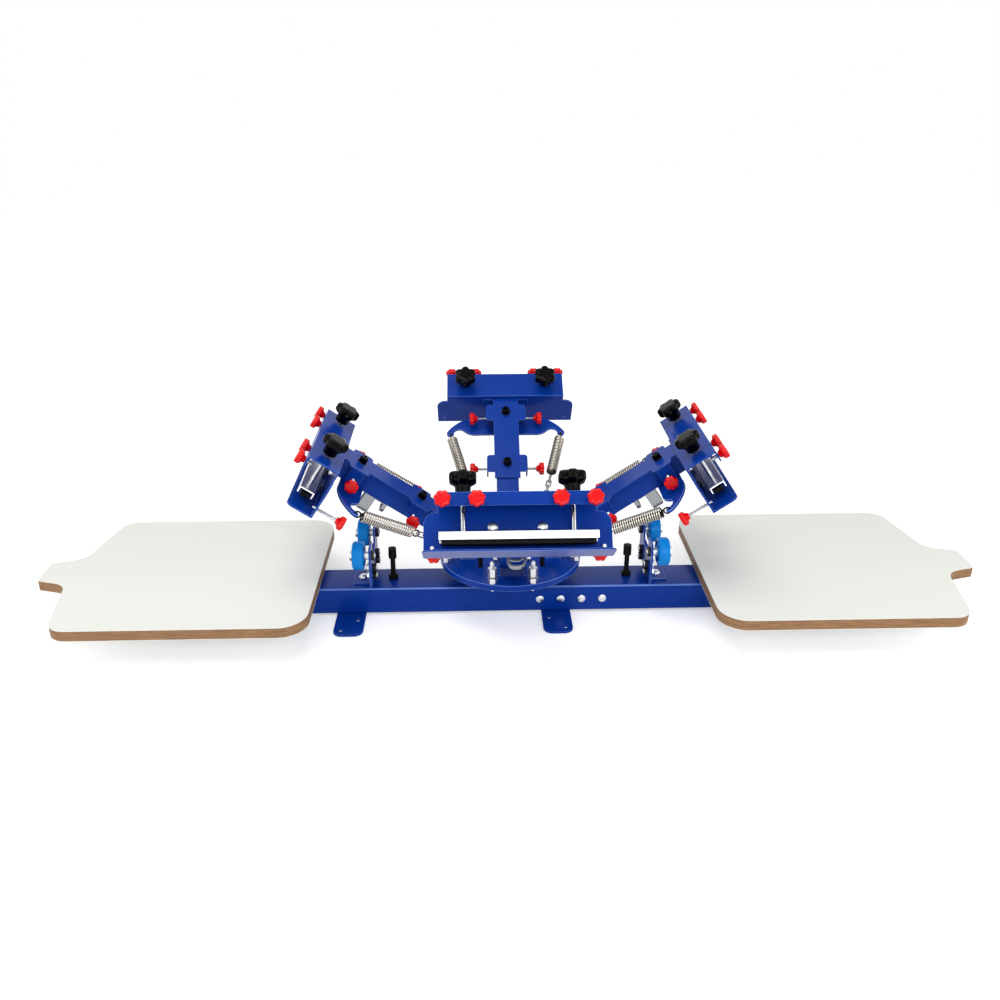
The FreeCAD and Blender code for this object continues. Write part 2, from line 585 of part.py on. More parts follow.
tip = (size("horn_tip_at"), size("horn_tip_side"))
front, hook = (size("horn_front"), size("horn_straight")), (size("horn_hook_at"), size("horn_hook_side"))
web = (size("horn_back"), size("horn_web"))
outside, end_middle, inside = (around(tip, size("horn_tip_round"), turn) for turn in HORN_TIP_TURNS)
half_outline = [(front, bulge(front, outside, HORN_OUTER_BULGE_SHARE), outside), (outside, end_middle, inside),
                (inside, bulge(inside, hook, HORN_HOOK_BULGE_SHARE), hook),
                (hook, bulge(hook, web, HORN_WEB_BULGE_SHARE), web)]
horn_curves = [arc(*points) for points in half_outline]
horn_curves += [line(web, flip(web))]
horn_curves += [arc(flip(c), flip(b), flip(a)) for a, b, c in half_outline[::-1]]
horn_curves += [line(flip(front), front)]
for spot in (tip, flip(tip)):
    horn_curves.append(circle(spot, size("hook_dia") + 2 * size("running_gap")))
horn = pad("horn", "XY_Plane", horn_curves, "horn_thick", "-tube_below - horn_thick")


# Guide tongue: a bridge under the tube with a short and a long strap, each bent to a U.
def tongue_strap(name, start, long, deep):
    half, top, low = size("tongue_wide") / 2, -size("tube_below"), -size("tube_below") - size(deep)
    thick, bend_round = size("tongue_thick"), size("tongue_round")
    inner = half - thick
    outline = [(-half, top), (-half, low), (half, low), (half, top),
               (inner, top), (inner, low + thick), (-inner, low + thick), (-inner, top)]
    rounds = [0, bend_round, bend_round, 0, 0, bend_round - thick, bend_round - thick, 0]
    return pad(name, "YZ_Plane", rounded(outline, rounds), long, start)


tongue = fuse("tongue",
              block("tongue_base", ("tongue_from", "-tongue_wide / 2", "-tube_below - tongue_thick"),
                    ("tongue_from + tongue_long", "tongue_wide / 2", "-tube_below")),
              tongue_strap("tongue_inner", "tongue_from", "tongue_inner_long", "tongue_inner_deep"),
              tongue_strap("tongue_outer", "tongue_from + tongue_long - tongue_outer_long",
                           "tongue_outer_long", "tongue_outer_deep"))


# Screws: a threaded rod with a lobed plastic knob, made along +Z at the origin.
def lobes(count, dia, valley):
    """A lobed outline: tips on the large circle, valleys on the small one."""
    step = math.pi / count
    reaches = [dia / 2, valley / 2] * count
    return polygon([(reach * math.cos(i * step), reach * math.sin(i * step))
                    for i, reach in enumerate(reaches)])


def knob_screw(name, dia, length):
    outline = lobes(KNOB_LOBES, size("knob_dia"), size("knob_valley_dia"))
    head = place(pad(name + "_knob", "XY_Plane", outline, "knob_high"), ("0", "0", length))
    return fuse(name, screw(name + "_rod", dia, length, ("0", "0", "0")), head)


side_screw = knob_screw("side_screw", "side_screw_dia", "side_knob_at - tube_wide / 2")
lock_stem = "2 * slide_gap + cover_thick"
lock_screw = fuse("lock_screw", screw("lock_rod", "lock_dia", lock_stem, ("0", "0", "0")),
                  screw("lock_head", "lock_head_dia", "lock_head_high", ("0", "0", lock_stem)))
stations = ("station_inner", "station_outer")
screws = mirrored("side_screw", side_screw,
                  *[((x, "%d * tube_wide / 2" % side, "-side_screw_perp"), way)
                    for x in stations for side, way in ((1, "+Y"), (-1, "-Y"))])
screws += mirrored("lock_screw", lock_screw, *[((x, "0", "tube_above"), "+Z") for x in stations])
adjusters = group("adjusters", *screws)

# Screen carrier: a plate that slides across the arm, with ears for the side screws.
cover_blocks = [block("cover_plate", ("cover_from", "-cover_wide / 2", COVER_LOW),
                      ("head_back", "cover_wide / 2", COVER_TOP)),
                block("cover_end", ("head_back - sheet_thick", "-cover_end_half", "-cover_end_below"),
                      ("head_back", "cover_end_half", COVER_TOP))]
cover_cuts = []
half_long, side = size("ear_long") / 2, size("ear_side")
slot_half = size("lock_dia") / 2 / math.cos(math.pi / SCREW_SIDES) + size("slide_gap")
for i, x in enumerate(stations):
    at = size(x)
    cover_blocks.append(pad("ear_top_%d" % i, "XY_Plane",
                            rectangle((at - half_long, -side), (at + half_long, side), size("ear_round")),
                            "ear_thick", COVER_TOP + " - ear_thick"))
    near, far = x + " - ear_long / 2 + ear_round", x + " + ear_long / 2 - ear_round"
    for key, start, end in (("a", "-ear_side", "-ear_side + ear_thick"),
                            ("b", "ear_side - ear_thick", "ear_side")):
        cover_blocks.append(block("ear_%s_%d" % (key, i), (near, start, COVER_TOP + " - ear_drop"),
                                  (far, end, COVER_TOP)))
    cover_cuts.append(screw("ear_bore_%d" % i, "side_screw_dia + 2 * running_gap", "4 * ear_side",
                            (x, "-2 * ear_side", "-side_screw_perp"), "+Y"))
    slot_reach = slot_half + size("shift_travel")
    slot = rectangle((at - slot_half, -slot_reach), (at + slot_half, slot_reach))
    cover_cuts.append(pad("lock_slot_%d" % i, "XY_Plane", slot, "2 * cover_thick",
                          "tube_above - cover_thick / 2"))
cover = cut("cover", fuse("cover_blank", *cover_blocks), *cover_cuts)

# Screen head: one bent sheet with a back, a top with a turned down flange and a lip below.
back, thick, wide = size("head_back"), size("sheet_thick"), size("head_wide") / 2
low, high = -size("head_bottom"), size("head_top")
shoulder, top_half = size("shoulder_perp"), wide - size("shoulder_step")
back_points = [(-wide, low), (wide, low), (wide, shoulder), (top_half, shoulder), (top_half, high),
               (-top_half, high), (-top_half, shoulder), (-wide, shoulder)]
back_rounds = [0, 0, size("shoulder_round"), 0, 0, 0, 0, size("shoulder_round")]
back_plate = pad("head_back_plate", "YZ_Plane", rounded(back_points, back_rounds), "sheet_thick", "head_back")
lip_points = [(back, -wide), (back + size("lip_deep"), -wide), (back + size("lip_deep"), wide), (back, wide)]
lip = pad("head_lip", "XY_Plane", rounded(lip_points, [0, size("lip_corner"), size("lip_corner"), 0]),
          "sheet_thick", "-head_bottom")
FLANGE_OUT = "(head_back + head_top_deep)"
TOP_HALF = "(head_wide / 2 - shoulder_step)"
head_blank = fuse("head_blank", back_plate, lip,
                  block("head_top_plate", ("head_back", "-" + TOP_HALF, "head_top - sheet_thick"),
                        (FLANGE_OUT, TOP_HALF, "head_top")),
                  block("head_flange",
                        (FLANGE_OUT + " - sheet_thick", "-" + TOP_HALF, "head_top - flange_deep"),
                        (FLANGE_OUT, TOP_HALF, "head_top")))
SCREW_PERP, CORNER_PERP = "(head_top - frame_screw_drop)", "(corner_screw_above - head_bottom)"
FLANGE_FAR, CORNER_SIDE = "(%s - frame_screw_edge)" % TOP_HALF, "(head_wide / 2 - corner_screw_edge)"
FLANGE_SIDES = ("-" + FLANGE_FAR, "-frame_screw_near", "frame_screw_near", FLANGE_FAR)
head_cuts = [screw("flange_hole_%d" % i, "frame_screw_dia + 2 * running_gap", "2 * frame_screw_in",
                 (FLANGE_OUT + " - frame_screw_in", y, SCREW_PERP), "+X")
             for i, y in enumerate(FLANGE_SIDES)]
head_cuts += [screw("corner_hole_%d" % i, "corner_screw_dia + 2 * running_gap", "4 * sheet_thick",
                  ("head_back - sheet_thick", y, CORNER_PERP), "+X")
              for i, y in enumerate(("-" + CORNER_SIDE, CORNER_SIDE))]
head_cuts += [screw("rod_hole_%d" % i, "clamp_rod_dia + 2 * running_gap", "4 * sheet_thick",
                  ("clamp_rod_at", y, "head_top - 2 * sheet_thick"))
              for i, y in enumerate(("-clamp_rod_side", "clamp_rod_side"))]
head = cut("head", head_blank, *head_cuts)

frame_screw = knob_screw("frame_screw", "frame_screw_dia", "frame_screw_in + frame_screw_out")
corner_screw = knob_screw("corner_screw", "corner_screw_dia",
                          "corner_screw_back + sheet_thick + corner_screw_tip")
flange_screws = mirrored("flange_screw", frame_screw,
                         *[((FLANGE_OUT + " - frame_screw_in", y, SCREW_PERP), "+X")
                           for y in FLANGE_SIDES])
corner_screws = mirrored("corner_pair", corner_screw,
                         *[(("head_back + sheet_thick + corner_screw_tip", y, CORNER_PERP), "-X")
                           for y in ("-" + CORNER_SIDE, CORNER_SIDE)])

# Frame clamp: a channel bar pulled up and pushed down by two star knobs.
bar = cut("clamp_channel",
          block("clamp_blank",
                ("clamp_rod_at - clamp_deep / 2", "-clamp_long / 2", "-clamp_top_perp - clamp_high"),
                ("clamp_rod_at + clamp_deep / 2", "clamp_long / 2", "-clamp_top_perp")),
          block("clamp_hollow",
                ("clamp_rod_at - clamp_deep / 2 + clamp_wall", "-clamp_long",
                 "-clamp_top_perp - 2 * clamp_high"),
                ("clamp_rod_at + clamp_deep / 2 - clamp_wall", "clamp_long", "-clamp_top_perp - clamp_wall")))
CLAMP_ROD = "(clamp_top_perp + head_top + star_clear)"
star_outline = lobes(STAR_LOBES, size("star_dia"), size("star_valley_dia"))
star_head = place(pad("star_head", "XY_Plane", star_outline, "star_high"),
                  ("0", "0", CLAMP_ROD + " + star_hub_high"))
star_screw = fuse("star_screw", screw("star_rod", "clamp_rod_dia", CLAMP_ROD, ("0", "0", "0")),
                  screw("star_hub", "star_hub_dia", "star_hub_high", ("0", "0", CLAMP_ROD)), star_head)
star_screws = mirrored("clamp_screw", star_screw,
                       *[(("clamp_rod_at", y, "-clamp_top_perp"), "+Z")
                         for y in ("-clamp_rod_side", "clamp_rod_side")])


# Lift springs: a coil hooked to the horn's tip, then a chain to the post on the disc.
def bend(start, start_way, end, end_way):
    """Two arcs that join two points and keep both directions."""
    chord, ways = end - start, start_way + end_way
    spread = 2 * (1 - start_way.dot(end_way))
    along = chord.dot(ways)
    reach = (-along + math.sqrt(along * along + spread * chord.dot(chord))) / spread
    first, last = start + start_way * reach, end - end_way * reach
    middle = (first + last) * 0.5
    return [arc_about(start, first, middle), arc_about(middle, last, end)]


def arc_about(start, corner, end):
    """The arc from start to end whose end directions meet at the corner."""
    chord_middle = (start + end) * 0.5
    half_chord = (end - start).Length / 2
    lean = (corner - start).getAngle(end - start)
    rise = half_chord * math.tan(lean / 2)
    return Part.Arc(start, chord_middle + (corner - chord_middle).normalize() * rise, end)


def hollow_link(start, way, flat, length):
    """A chain link: a flat bar ring whose wide side lies along flat."""
    wide, bar = size("link_wide"), size("link_bar")
    thick = way.cross(flat)
    corner = start - flat * (wide / 2) - thick * (bar / 2)
    ring = [Part.makeBox(length, wide, bar),
            Part.makeBox(length - 2 * bar, wide - 2 * bar, 3 * bar, Vector(bar, bar, -bar))]
    link = ring[0].cut(ring[1])
    link.Placement = Placement(corner, Rotation(way, flat, thick, "XYZ"))
    return link


def least_gap(points, far):
    """The least distance between points of a path at least far apart along it."""
    gap = math.inf
    for i, a in enumerate(points):
        for b in points[i + far:]:
            gap = min(gap, a.distanceToPoint(b))
    return gap


def lift_spring(side, lift):
    """The solids of one spring: hook pin, wound wire and chain links."""
    lean = math.radians(size(lift))
    above = size("disc_top_above") + size("post_above") - size("post_ring_high") / 2 - size("pivot_above")
    out = size("post_at") - size("pivot_out")
    start = Vector(size("horn_tip_at"), side * size("horn_tip_side"),
                   size("hook_above") / 2 - size("tube_below"))
    end = Vector(out * math.cos(lean) + above * math.sin(lean), side * size("post_at"),
                 above * math.cos(lean) - out * math.sin(lean))
    way = (end - start).normalize()
    up = Vector(math.sin(lean), 0, math.cos(lean))
    flat = way.cross(up).normalize()
    square = way.cross(flat)
    wire, radius = size("spring_wire"), (size("spring_dia") - size("spring_wire")) / 2
    pitch = size("spring_long") / SPRING_TURNS
    hook = size("hook_dia") / 2
    coil_start = hook + wire + size("spring_lead")

    def coil(turn):
        angle = 2 * math.pi * turn
        spot = start + way * (coil_start + pitch * turn)
        spot += flat * (radius * math.cos(angle)) + square * (radius * math.sin(angle))
        slope = way * (pitch / (2 * math.pi * radius)) - flat * math.sin(angle) + square * math.cos(angle)
        return spot, slope.normalize()

    stations = [(start + way * (hook + wire), Vector(way))]
    stations += [coil(step / COIL_STEPS) for step in range(COIL_STEPS * SPRING_TURNS + 1)]
    wound_end = coil_start + size("spring_long") + size("spring_lead")
    stations.append((start + way * wound_end, Vector(way)))
    curves = [Part.LineSegment(start + way * hook, stations[0][0])]
    for a, b in zip(stations, stations[1:]):
        curves += bend(*a, *b)
    curves.append(Part.LineSegment(stations[-1][0], start + way * (wound_end + wire)))
    samples = [p for curve in curves for p in curve.discretize(7)[:-1]]
    far = len(samples) // (SPRING_TURNS + 1) // COIL_STEPS
    gap = least_gap(samples, far) - math.hypot(wire, wire)
    print("spring: least gap of the wire to itself %.2f mm" % gap)
    corners = [start + way * hook + (flat * a + square * b) * (wire / 2)
               for a, b in ((1, 1), (-1, 1), (-1, -1), (1, -1))]
    profile = Part.makePolygon(corners + corners[:1])
    tube = Part.Wire([curve.toShape() for curve in curves]).makePipeShell([profile], True, False)
    under = size("hook_above") / 2 + size("horn_thick")
    pin = Part.makeCylinder(hook, size("hook_above") + size("horn_thick"), start - Vector(0, 0, under))
    button = Part.makeCylinder(size("hook_head_dia") / 2, size("hook_head_high"),
                               start - Vector(0, 0, under + size("hook_head_high")))
    solids = [tube, pin.fuse(button).removeSplitter()]
    reach, slant = (end - start).Length, abs(way.dot(up))
    ring = size("post_ring_dia") / 2 / math.cos(math.pi / SCREW_SIDES) + size("spring_seat_gap")
    stop = reach - (ring + size("link_wide") / 2 * slant) / math.sqrt(1 - slant * slant)
    chain_start = wound_end + wire
    bars = 2 * size("link_bar")
    length = (stop - chain_start + bars * (CHAIN_LINKS - 1)) / CHAIN_LINKS
    for i in range(CHAIN_LINKS):
        turned = square if (CHAIN_LINKS - 1 - i) % 2 == 0 else flat
        solids.append(hollow_link(start + way * (chain_start + i * (length - bars)), way, turned, length))
    return solids


def spring_pair(name, lift):
    obj = doc.addObject("Part::Feature", name)
    obj.Shape = Part.makeCompound(lift_spring(-1, lift) + lift_spring(1, lift))
    return obj


springs = {lift: spring_pair("springs_at_" + lift, lift) for lift in ("lift_angle", "front_lift_angle")}

# Each arm's nodes, turned to the arm's place and lifted.
for arm, angle, lift in ARMS:
    at_pivot = Placement(Vector(size("pivot_out"), 0, beam_top + size("pivot_above")),
                         Rotation(Vector(0, 1, 0), -size(lift)))
    spot = Placement(Vector(), Rotation(Vector(0, 0, 1), angle)) * at_pivot
    screws = flange_screws if arm == "rear" else flange_screws + corner_screws
    for word, parts in (("arm_tube", [arm_tube]), ("horn_bracket", [horn]), ("guide_tongue", [tongue]),
                        ("lift_springs", [springs[lift]]), ("adjust_screws", [adjusters]),
                        ("carrier_cover", [cover]), ("head_channel", [head]), ("frame_screws", screws),
                        ("clamp_bar", [bar]), ("clamp_knobs", star_screws)):
        name = "%s_%s" % (arm, word)
        nodes[name] = group(name, *parts)
        nodes[name].Placement = spot

doc.recompute()
wrong = [obj.Label for obj in doc.Objects if "Invalid" in obj.State or "Error" in obj.State]
wrong += [name for name, obj in nodes.items() if obj.Shape.isNull() or not obj.Shape.isValid()]
if wrong:
    raise SystemExit("objects that failed: " + ", ".join(wrong))
os.makedirs("parts", exist_ok=True)
for name, obj in nodes.items():
    obj.Label = name
    obj.Shape.exportStep("parts/%s.step" % name)
print("nodes %d, solids %d" % (len(nodes), sum(len(obj.Shape.Solids) for obj in nodes.values())))
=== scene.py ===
# %% [markdown]
# The tabletop screen printing press, dressed for a photograph
# The solids of the press come ready made from the CAD part. This notebook gives them their looks:
# rounded edges, paint, plastic and metal, and the fine pieces that the solids leave plain, such as
# wound springs, lobed knobs and threaded rods. Nothing here moves or resizes the press itself.

# %% Load the press and measure it
import json
import math

import bmesh
import bpy
import numpy as np
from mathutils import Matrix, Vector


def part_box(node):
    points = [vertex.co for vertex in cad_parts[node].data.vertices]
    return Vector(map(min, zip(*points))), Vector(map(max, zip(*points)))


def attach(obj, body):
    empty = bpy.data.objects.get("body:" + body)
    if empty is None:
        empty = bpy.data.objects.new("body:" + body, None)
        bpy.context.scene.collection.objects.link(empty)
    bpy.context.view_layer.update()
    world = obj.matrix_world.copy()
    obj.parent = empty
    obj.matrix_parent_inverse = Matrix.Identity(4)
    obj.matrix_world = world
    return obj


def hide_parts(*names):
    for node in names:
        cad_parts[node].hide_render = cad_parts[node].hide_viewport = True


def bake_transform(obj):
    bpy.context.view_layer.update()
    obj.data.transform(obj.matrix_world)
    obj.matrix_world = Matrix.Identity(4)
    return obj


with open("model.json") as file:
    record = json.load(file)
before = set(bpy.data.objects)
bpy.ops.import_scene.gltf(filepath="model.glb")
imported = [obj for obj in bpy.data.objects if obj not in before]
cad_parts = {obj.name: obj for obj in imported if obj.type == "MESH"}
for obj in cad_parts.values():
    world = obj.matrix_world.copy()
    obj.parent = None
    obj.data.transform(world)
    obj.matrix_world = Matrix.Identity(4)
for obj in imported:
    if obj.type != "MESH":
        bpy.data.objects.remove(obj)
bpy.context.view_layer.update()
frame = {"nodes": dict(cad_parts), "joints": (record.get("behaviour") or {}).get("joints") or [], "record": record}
MM = 0.001
joints = {joint["name"]: joint for joint in frame["joints"]}
bodies = frame["record"]["behaviour"]["bodies"]
body_of_node = {node: body for body, nodes in bodies.items() for node in nodes}

# %% [markdown]
# The camera comes first
# A product photograph is judged from one place, so the camera is set before anything is made. Its
# place, lens and tilt were worked out from known sizes in the photograph: the beam, the boards and
# the rollers. A 34 mm lens on a full frame sensor sees the press a little from above.

# %% Camera at the photograph's place
CAMERA_PLACE = (-0.0637, -1.6863, 0.9888)
CAMERA_LENS = 34.15
CAMERA_TILT, CAMERA_ROLL, CAMERA_YAW = 65.78, 0.11, -1.526

camera_data = bpy.data.cameras.new("camera")
camera_data.lens = CAMERA_LENS
camera_data.sensor_width = 36
camera = bpy.data.objects.new("camera", camera_data)
camera.location = CAMERA_PLACE
camera.rotation_euler = [math.radians(turn) for turn in (CAMERA_TILT, CAMERA_ROLL, CAMERA_YAW)]
bpy.context.scene.collection.objects.link(camera)
bpy.context.scene.camera = camera
print("camera at", tuple(camera.location))

# %% [markdown]
# One helper for shader nodes, one for colours
# Every finish below is a small graph of shader nodes. Writing each node as one call keeps a graph
# readable: the kind of node, its settings, and what goes into its sockets. Colours are written as
# people pick them, in sRGB hex, and Cycles wants linear light, so one function converts them.


# %% Helpers for materials
GRAIN_DETAIL = 2.0
CLOUD_MM, CLOUD_DETAIL = 60, 3.0


def linear(code):
    """An sRGB hex colour as linear RGBA: each channel is undone from the sRGB curve."""
    channels = np.array([int(code[i:i + 2], 16) for i in (1, 3, 5)]) / 255
    curve = np.where(channels <= 0.04045, channels / 12.92, ((channels + 0.055) / 1.055) ** 2.4)
    return (*[float(value) for value in curve], 1.0)


def add(tree, kind, settings=None, feeds=None):
    """Adds a node to a tree: settings are its properties, feeds its socket values or source sockets."""
    made = tree.nodes.new(kind)
    for name, value in (settings or {}).items():
        setattr(made, name, value)
    for name, value in (feeds or {}).items():
        socket = made.inputs[name]
        if isinstance(value, bpy.types.NodeSocket):
            tree.links.new(value, socket)
        else:
            socket.default_value = value
    return made


def new_material(name):
    """An empty material with its output node."""
    material = bpy.data.materials.new(name)
    material.use_nodes = True
    material.node_tree.nodes.clear()
    output = add(material.node_tree, "ShaderNodeOutputMaterial")
    return material, material.node_tree, output


def finish(name, colour, feeds, grain_mm=None, grain_depth=0.0, spread=0.0):
    """A Principled surface in one colour, with an optional fine grain that lifts and shades it."""
    material, tree, output = new_material(name)
    base = linear(colour)
    shader = add(tree, "ShaderNodeBsdfPrincipled", feeds={"Base Color": base, **feeds})
    if grain_mm:
        place = add(tree, "ShaderNodeTexCoord").outputs["Object"]
        noise = add(tree, "ShaderNodeTexNoise",
                    feeds={"Vector": place, "Scale": 1 / (grain_mm * MM), "Detail": GRAIN_DETAIL})
        bump = add(tree, "ShaderNodeBump", feeds={"Height": noise.outputs["Fac"], "Strength": 1.0,
                                                  "Distance": grain_depth * MM})
        tree.links.new(bump.outputs["Normal"], shader.inputs["Normal"])
    if spread:
        place = add(tree, "ShaderNodeTexCoord").outputs["Object"]
        cloud = add(tree, "ShaderNodeTexNoise",
                    feeds={"Vector": place, "Scale": 1 / (CLOUD_MM * MM), "Detail": CLOUD_DETAIL})
        low, high = [tuple(min(1, c * (1 + side * spread)) for c in base[:3]) + (1.0,) for side in (-1, 1)]
        mix = add(tree, "ShaderNodeMix", {"data_type": "RGBA"},
                  {"Factor": cloud.outputs["Fac"], "A": low, "B": high})
        tree.links.new(mix.outputs["Result"], shader.inputs["Base Color"])
    tree.links.new(shader.outputs["BSDF"], output.inputs["Surface"])
    return material


# %% [markdown]
# The finishes of the real press
# The frame is mild steel under a thick, glossy royal blue powder coat, whose skin has a faint orange
# peel. Knobs are moulded plastic, red and black. Rods, bolts and chain are zinc plated or chromed.
# The boards are wood fibre core faced with white laminate, so their sawn edge shows brown.

# %% Materials
SHEEN = 0.12
powder_coat = finish("powder_coat_royal_blue", "#053694",  # thick glossy enamel on mild steel
                     {"Roughness": 0.27, "Specular IOR Level": SHEEN}, grain_mm=1.6, grain_depth=0.01,
                     spread=0.08)
edge_coat_and_highlight = finish("powder_coat_thin_edge_and_painted_highlight", "#5E82D2",  # the coat draws thin over an edge, and this paler blue is also a painted highlight
                   {"Roughness": 0.3, "Specular IOR Level": 0.4})
red_plastic = finish("moulded_plastic_red", "#DE0306",  # shiny signal red, shows soft round highlights
                     {"Roughness": 0.2, "Specular IOR Level": 0.25})
black_plastic = finish("moulded_plastic_black", "#010102",  # polished black that keeps crisp highlights
                       {"Roughness": 0.1, "Specular IOR Level": 0.08})
black_rubber = finish("moulded_rubber_black", "#08080A",  # dull black with a faint skin
                      {"Roughness": 0.55, "Specular IOR Level": SHEEN}, grain_mm=0.8, grain_depth=0.02)
black_steel = finish("blackened_steel", "#17171A",  # oiled black nuts, half dull
                     {"Roughness": 0.38, "Metallic": 0.6})
bright_zinc = finish("zinc_plated_steel", "#D3D5D7",  # cool bright plating
                     {"Roughness": 0.32, "Metallic": 1.0}, grain_mm=0.9, grain_depth=0.008)
azure_plastic = finish("moulded_plastic_azure", "#1085DA",  # cast wheel plastic, satin
                       {"Roughness": 0.32, "Specular IOR Level": SHEEN}, spread=0.05)
white_laminate = finish("satin_white_laminate", "#EDEEE7",  # melamine face, hardly any texture
                        {"Roughness": 0.34, "Specular IOR Level": SHEEN}, grain_mm=1.2, grain_depth=0.004)
pale_bar = finish("bright_aluminium_bar", "#EDEEF0",  # anodised aluminium, almost white under soft light
                  {"Roughness": 0.28, "Metallic": 1.0})
chain_steel = finish("welded_chain_steel", "#8F9194",  # plated chain, duller than the bolts
                     {"Roughness": 0.3, "Metallic": 1.0})
polished_rod = finish("ground_steel_rod", "#A6A8AC",  # ground rods, smooth and a little dark
                      {"Roughness": 0.12, "Metallic": 1.0})

# %% [markdown]
# Wire that is dark between its turns
# Light hardly reaches the gaps of a close wound spring, and they read as dark lines. That shade is
# painted into the colour. The mesh of the wire carries a number, 1 on the outside of the coil and 0
# where a turn faces its neighbour or the axis. The colour goes from a near black painted shade to
# bright steel with that number.


# %% Spring steel
def wound_steel():
    """Bright wire with painted shade: its colour darkens with the mesh attribute named open."""
    material, tree, output = new_material("drawn_spring_steel")
    outside = add(tree, "ShaderNodeAttribute", {"attribute_name": "open"})
    ramp = add(tree, "ShaderNodeValToRGB", feeds={"Fac": outside.outputs["Fac"]})
    # painted shade: near black where a turn faces its neighbour or the axis, bright steel outside
    ramp.color_ramp.elements[0].position, ramp.color_ramp.elements[0].color = 0.45, linear("#1C1A18")
    ramp.color_ramp.elements[1].position, ramp.color_ramp.elements[1].color = 0.92, linear("#BDB6AB")
    shader = add(tree, "ShaderNodeBsdfPrincipled",
                 feeds={"Base Color": ramp.outputs["Color"], "Metallic": 1.0, "Roughness": 0.24})
    tree.links.new(shader.outputs["BSDF"], output.inputs["Surface"])
    return material


spring_wire = wound_steel()
print("materials", len(bpy.data.materials))

# %% [markdown]
# Sawn edge of the boards
# The core is pressed fibre, laid in thin flat layers. Sawing leaves warm brown streaks that run along
# the edge. The layers are drawn as noise squeezed flat in Z, so that it changes fast upwards and
# slowly along the board.


# %% Brown sawn core
LAYER_MM = 2.2
STREAK_MM = 45


def sawn_core():
    """Noise stretched along the board and squeezed in height, between two browns."""
    material, tree, output = new_material("sawn_fibre_core")
    place = add(tree, "ShaderNodeTexCoord").outputs["Object"]
    squeeze = (1 / (STREAK_MM * MM), 1 / (STREAK_MM * MM), 1 / (LAYER_MM * MM))
    flat = add(tree, "ShaderNodeMapping", feeds={"Vector": place, "Scale": squeeze})
    noise = add(tree, "ShaderNodeTexNoise",
                feeds={"Vector": flat.outputs["Vector"], "Scale": 1.0, "Detail": 5.0, "Roughness": 0.65})
    ramp = add(tree, "ShaderNodeValToRGB", feeds={"Fac": noise.outputs["Fac"]})
    ramp.color_ramp.elements[0].position, ramp.color_ramp.elements[0].color = 0.3, linear("#6E4A2C")
    ramp.color_ramp.elements[1].position, ramp.color_ramp.elements[1].color = 0.72, linear("#B58A5E")
    bump = add(tree, "ShaderNodeBump", feeds={"Height": noise.outputs["Fac"], "Distance": 0.1 * MM})
    shader = add(tree, "ShaderNodeBsdfPrincipled", feeds={
        "Base Color": ramp.outputs["Color"], "Roughness": 0.6, "Normal": bump.outputs["Normal"]})
    tree.links.new(shader.outputs["BSDF"], output.inputs["Surface"])
    return material


board_core = sawn_core()

# %% [markdown]
# Turning arrays into meshes
# A surface is a grid of points: rows along one parameter, columns along the other. Each square of
# four neighbours is a face. Numpy makes the whole grid at once, and a piece is one or more grids
# joined into a mesh, with doubled points merged so that poles and seams close.


# %% Mesh helpers
def grid_faces(rows, columns, wrap=True):
    """Quads joining point (i, j) to its neighbours; wrap joins the last column to the first."""
    i, j = np.meshgrid(np.arange(rows - 1), np.arange(columns if wrap else columns - 1), indexing="ij")
    after = (j + 1) % columns
    return np.stack([i * columns + j, i * columns + after, (i + 1) * columns + after, (i + 1) * columns + j],
                    axis=-1).reshape(-1, 4)


def joined(grids):
    """Points and quads of several (grid, wrap) surfaces as one pair of arrays."""
    points, faces, base = [], [], 0
    for grid, wrap in grids:
        rows, columns = grid.shape[:2]
        points.append(grid.reshape(-1, 3))
        faces.append(grid_faces(rows, columns, wrap) + base)
        base += rows * columns
    return np.concatenate(points), np.concatenate(faces)


def piece(name, points, faces, material, body, smooth=True, crease=40):
    """A closed mesh piece: doubles merged, faces turned outwards, riding on a body unless that is None."""
    mesh = bpy.data.meshes.new(name)
    mesh.from_pydata(points.tolist(), [], faces.tolist())
    work = bmesh.new()
    work.from_mesh(mesh)
    bmesh.ops.remove_doubles(work, verts=work.verts, dist=1e-6)
    bmesh.ops.dissolve_degenerate(work, edges=work.edges, dist=1e-7)
    bmesh.ops.recalc_face_normals(work, faces=work.faces)
    work.to_mesh(mesh)
    work.free()
    mesh.materials.append(material)
    if smooth:
        mesh.shade_smooth()
        mesh.set_sharp_from_angle(angle=math.radians(crease))
    obj = bpy.data.objects.new(name, mesh)
    bpy.context.scene.collection.objects.link(obj)
    if body:
        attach(obj, body)
    return obj


# %% Surfaces of revolution and tubes
def moved(points, matrix):
    """Points through a 4 by 4 matrix."""
    return points @ matrix[:3, :3].T + matrix[:3, 3]


def lathe(profile, steps=32):
    """Profile rows of (radius, height) turned about Z: the point at angle a is (r cos a, r sin a, h)."""
    turn = np.arange(steps) * 2 * math.pi / steps
    radius, height = np.array(profile, float).T
    ring = np.stack([np.cos(turn), np.sin(turn), np.zeros(steps)], axis=-1)
    return radius[:, None, None] * ring + height[:, None, None] * np.array([0, 0, 1.0])


def sweep(path, side, radius, steps=8):
    """A round tube: at each path point a circle in the plane of side and tangent cross side."""
    tangent = np.gradient(path, axis=0)
    tangent /= np.linalg.norm(tangent, axis=1, keepdims=True)
    side = side - (side * tangent).sum(1, keepdims=True) * tangent
    side /= np.linalg.norm(side, axis=1, keepdims=True)
    other = np.cross(tangent, side)
    turn = np.arange(steps) * 2 * math.pi / steps
    ring = side[:, None] * np.cos(turn)[None, :, None] + other[:, None] * np.sin(turn)[None, :, None]
    tube = path[:, None] + radius * ring
    caps = [np.repeat(path[k][None, None], steps, axis=1) for k in (0, -1)]
    return np.concatenate([caps[0], tube, caps[1]])


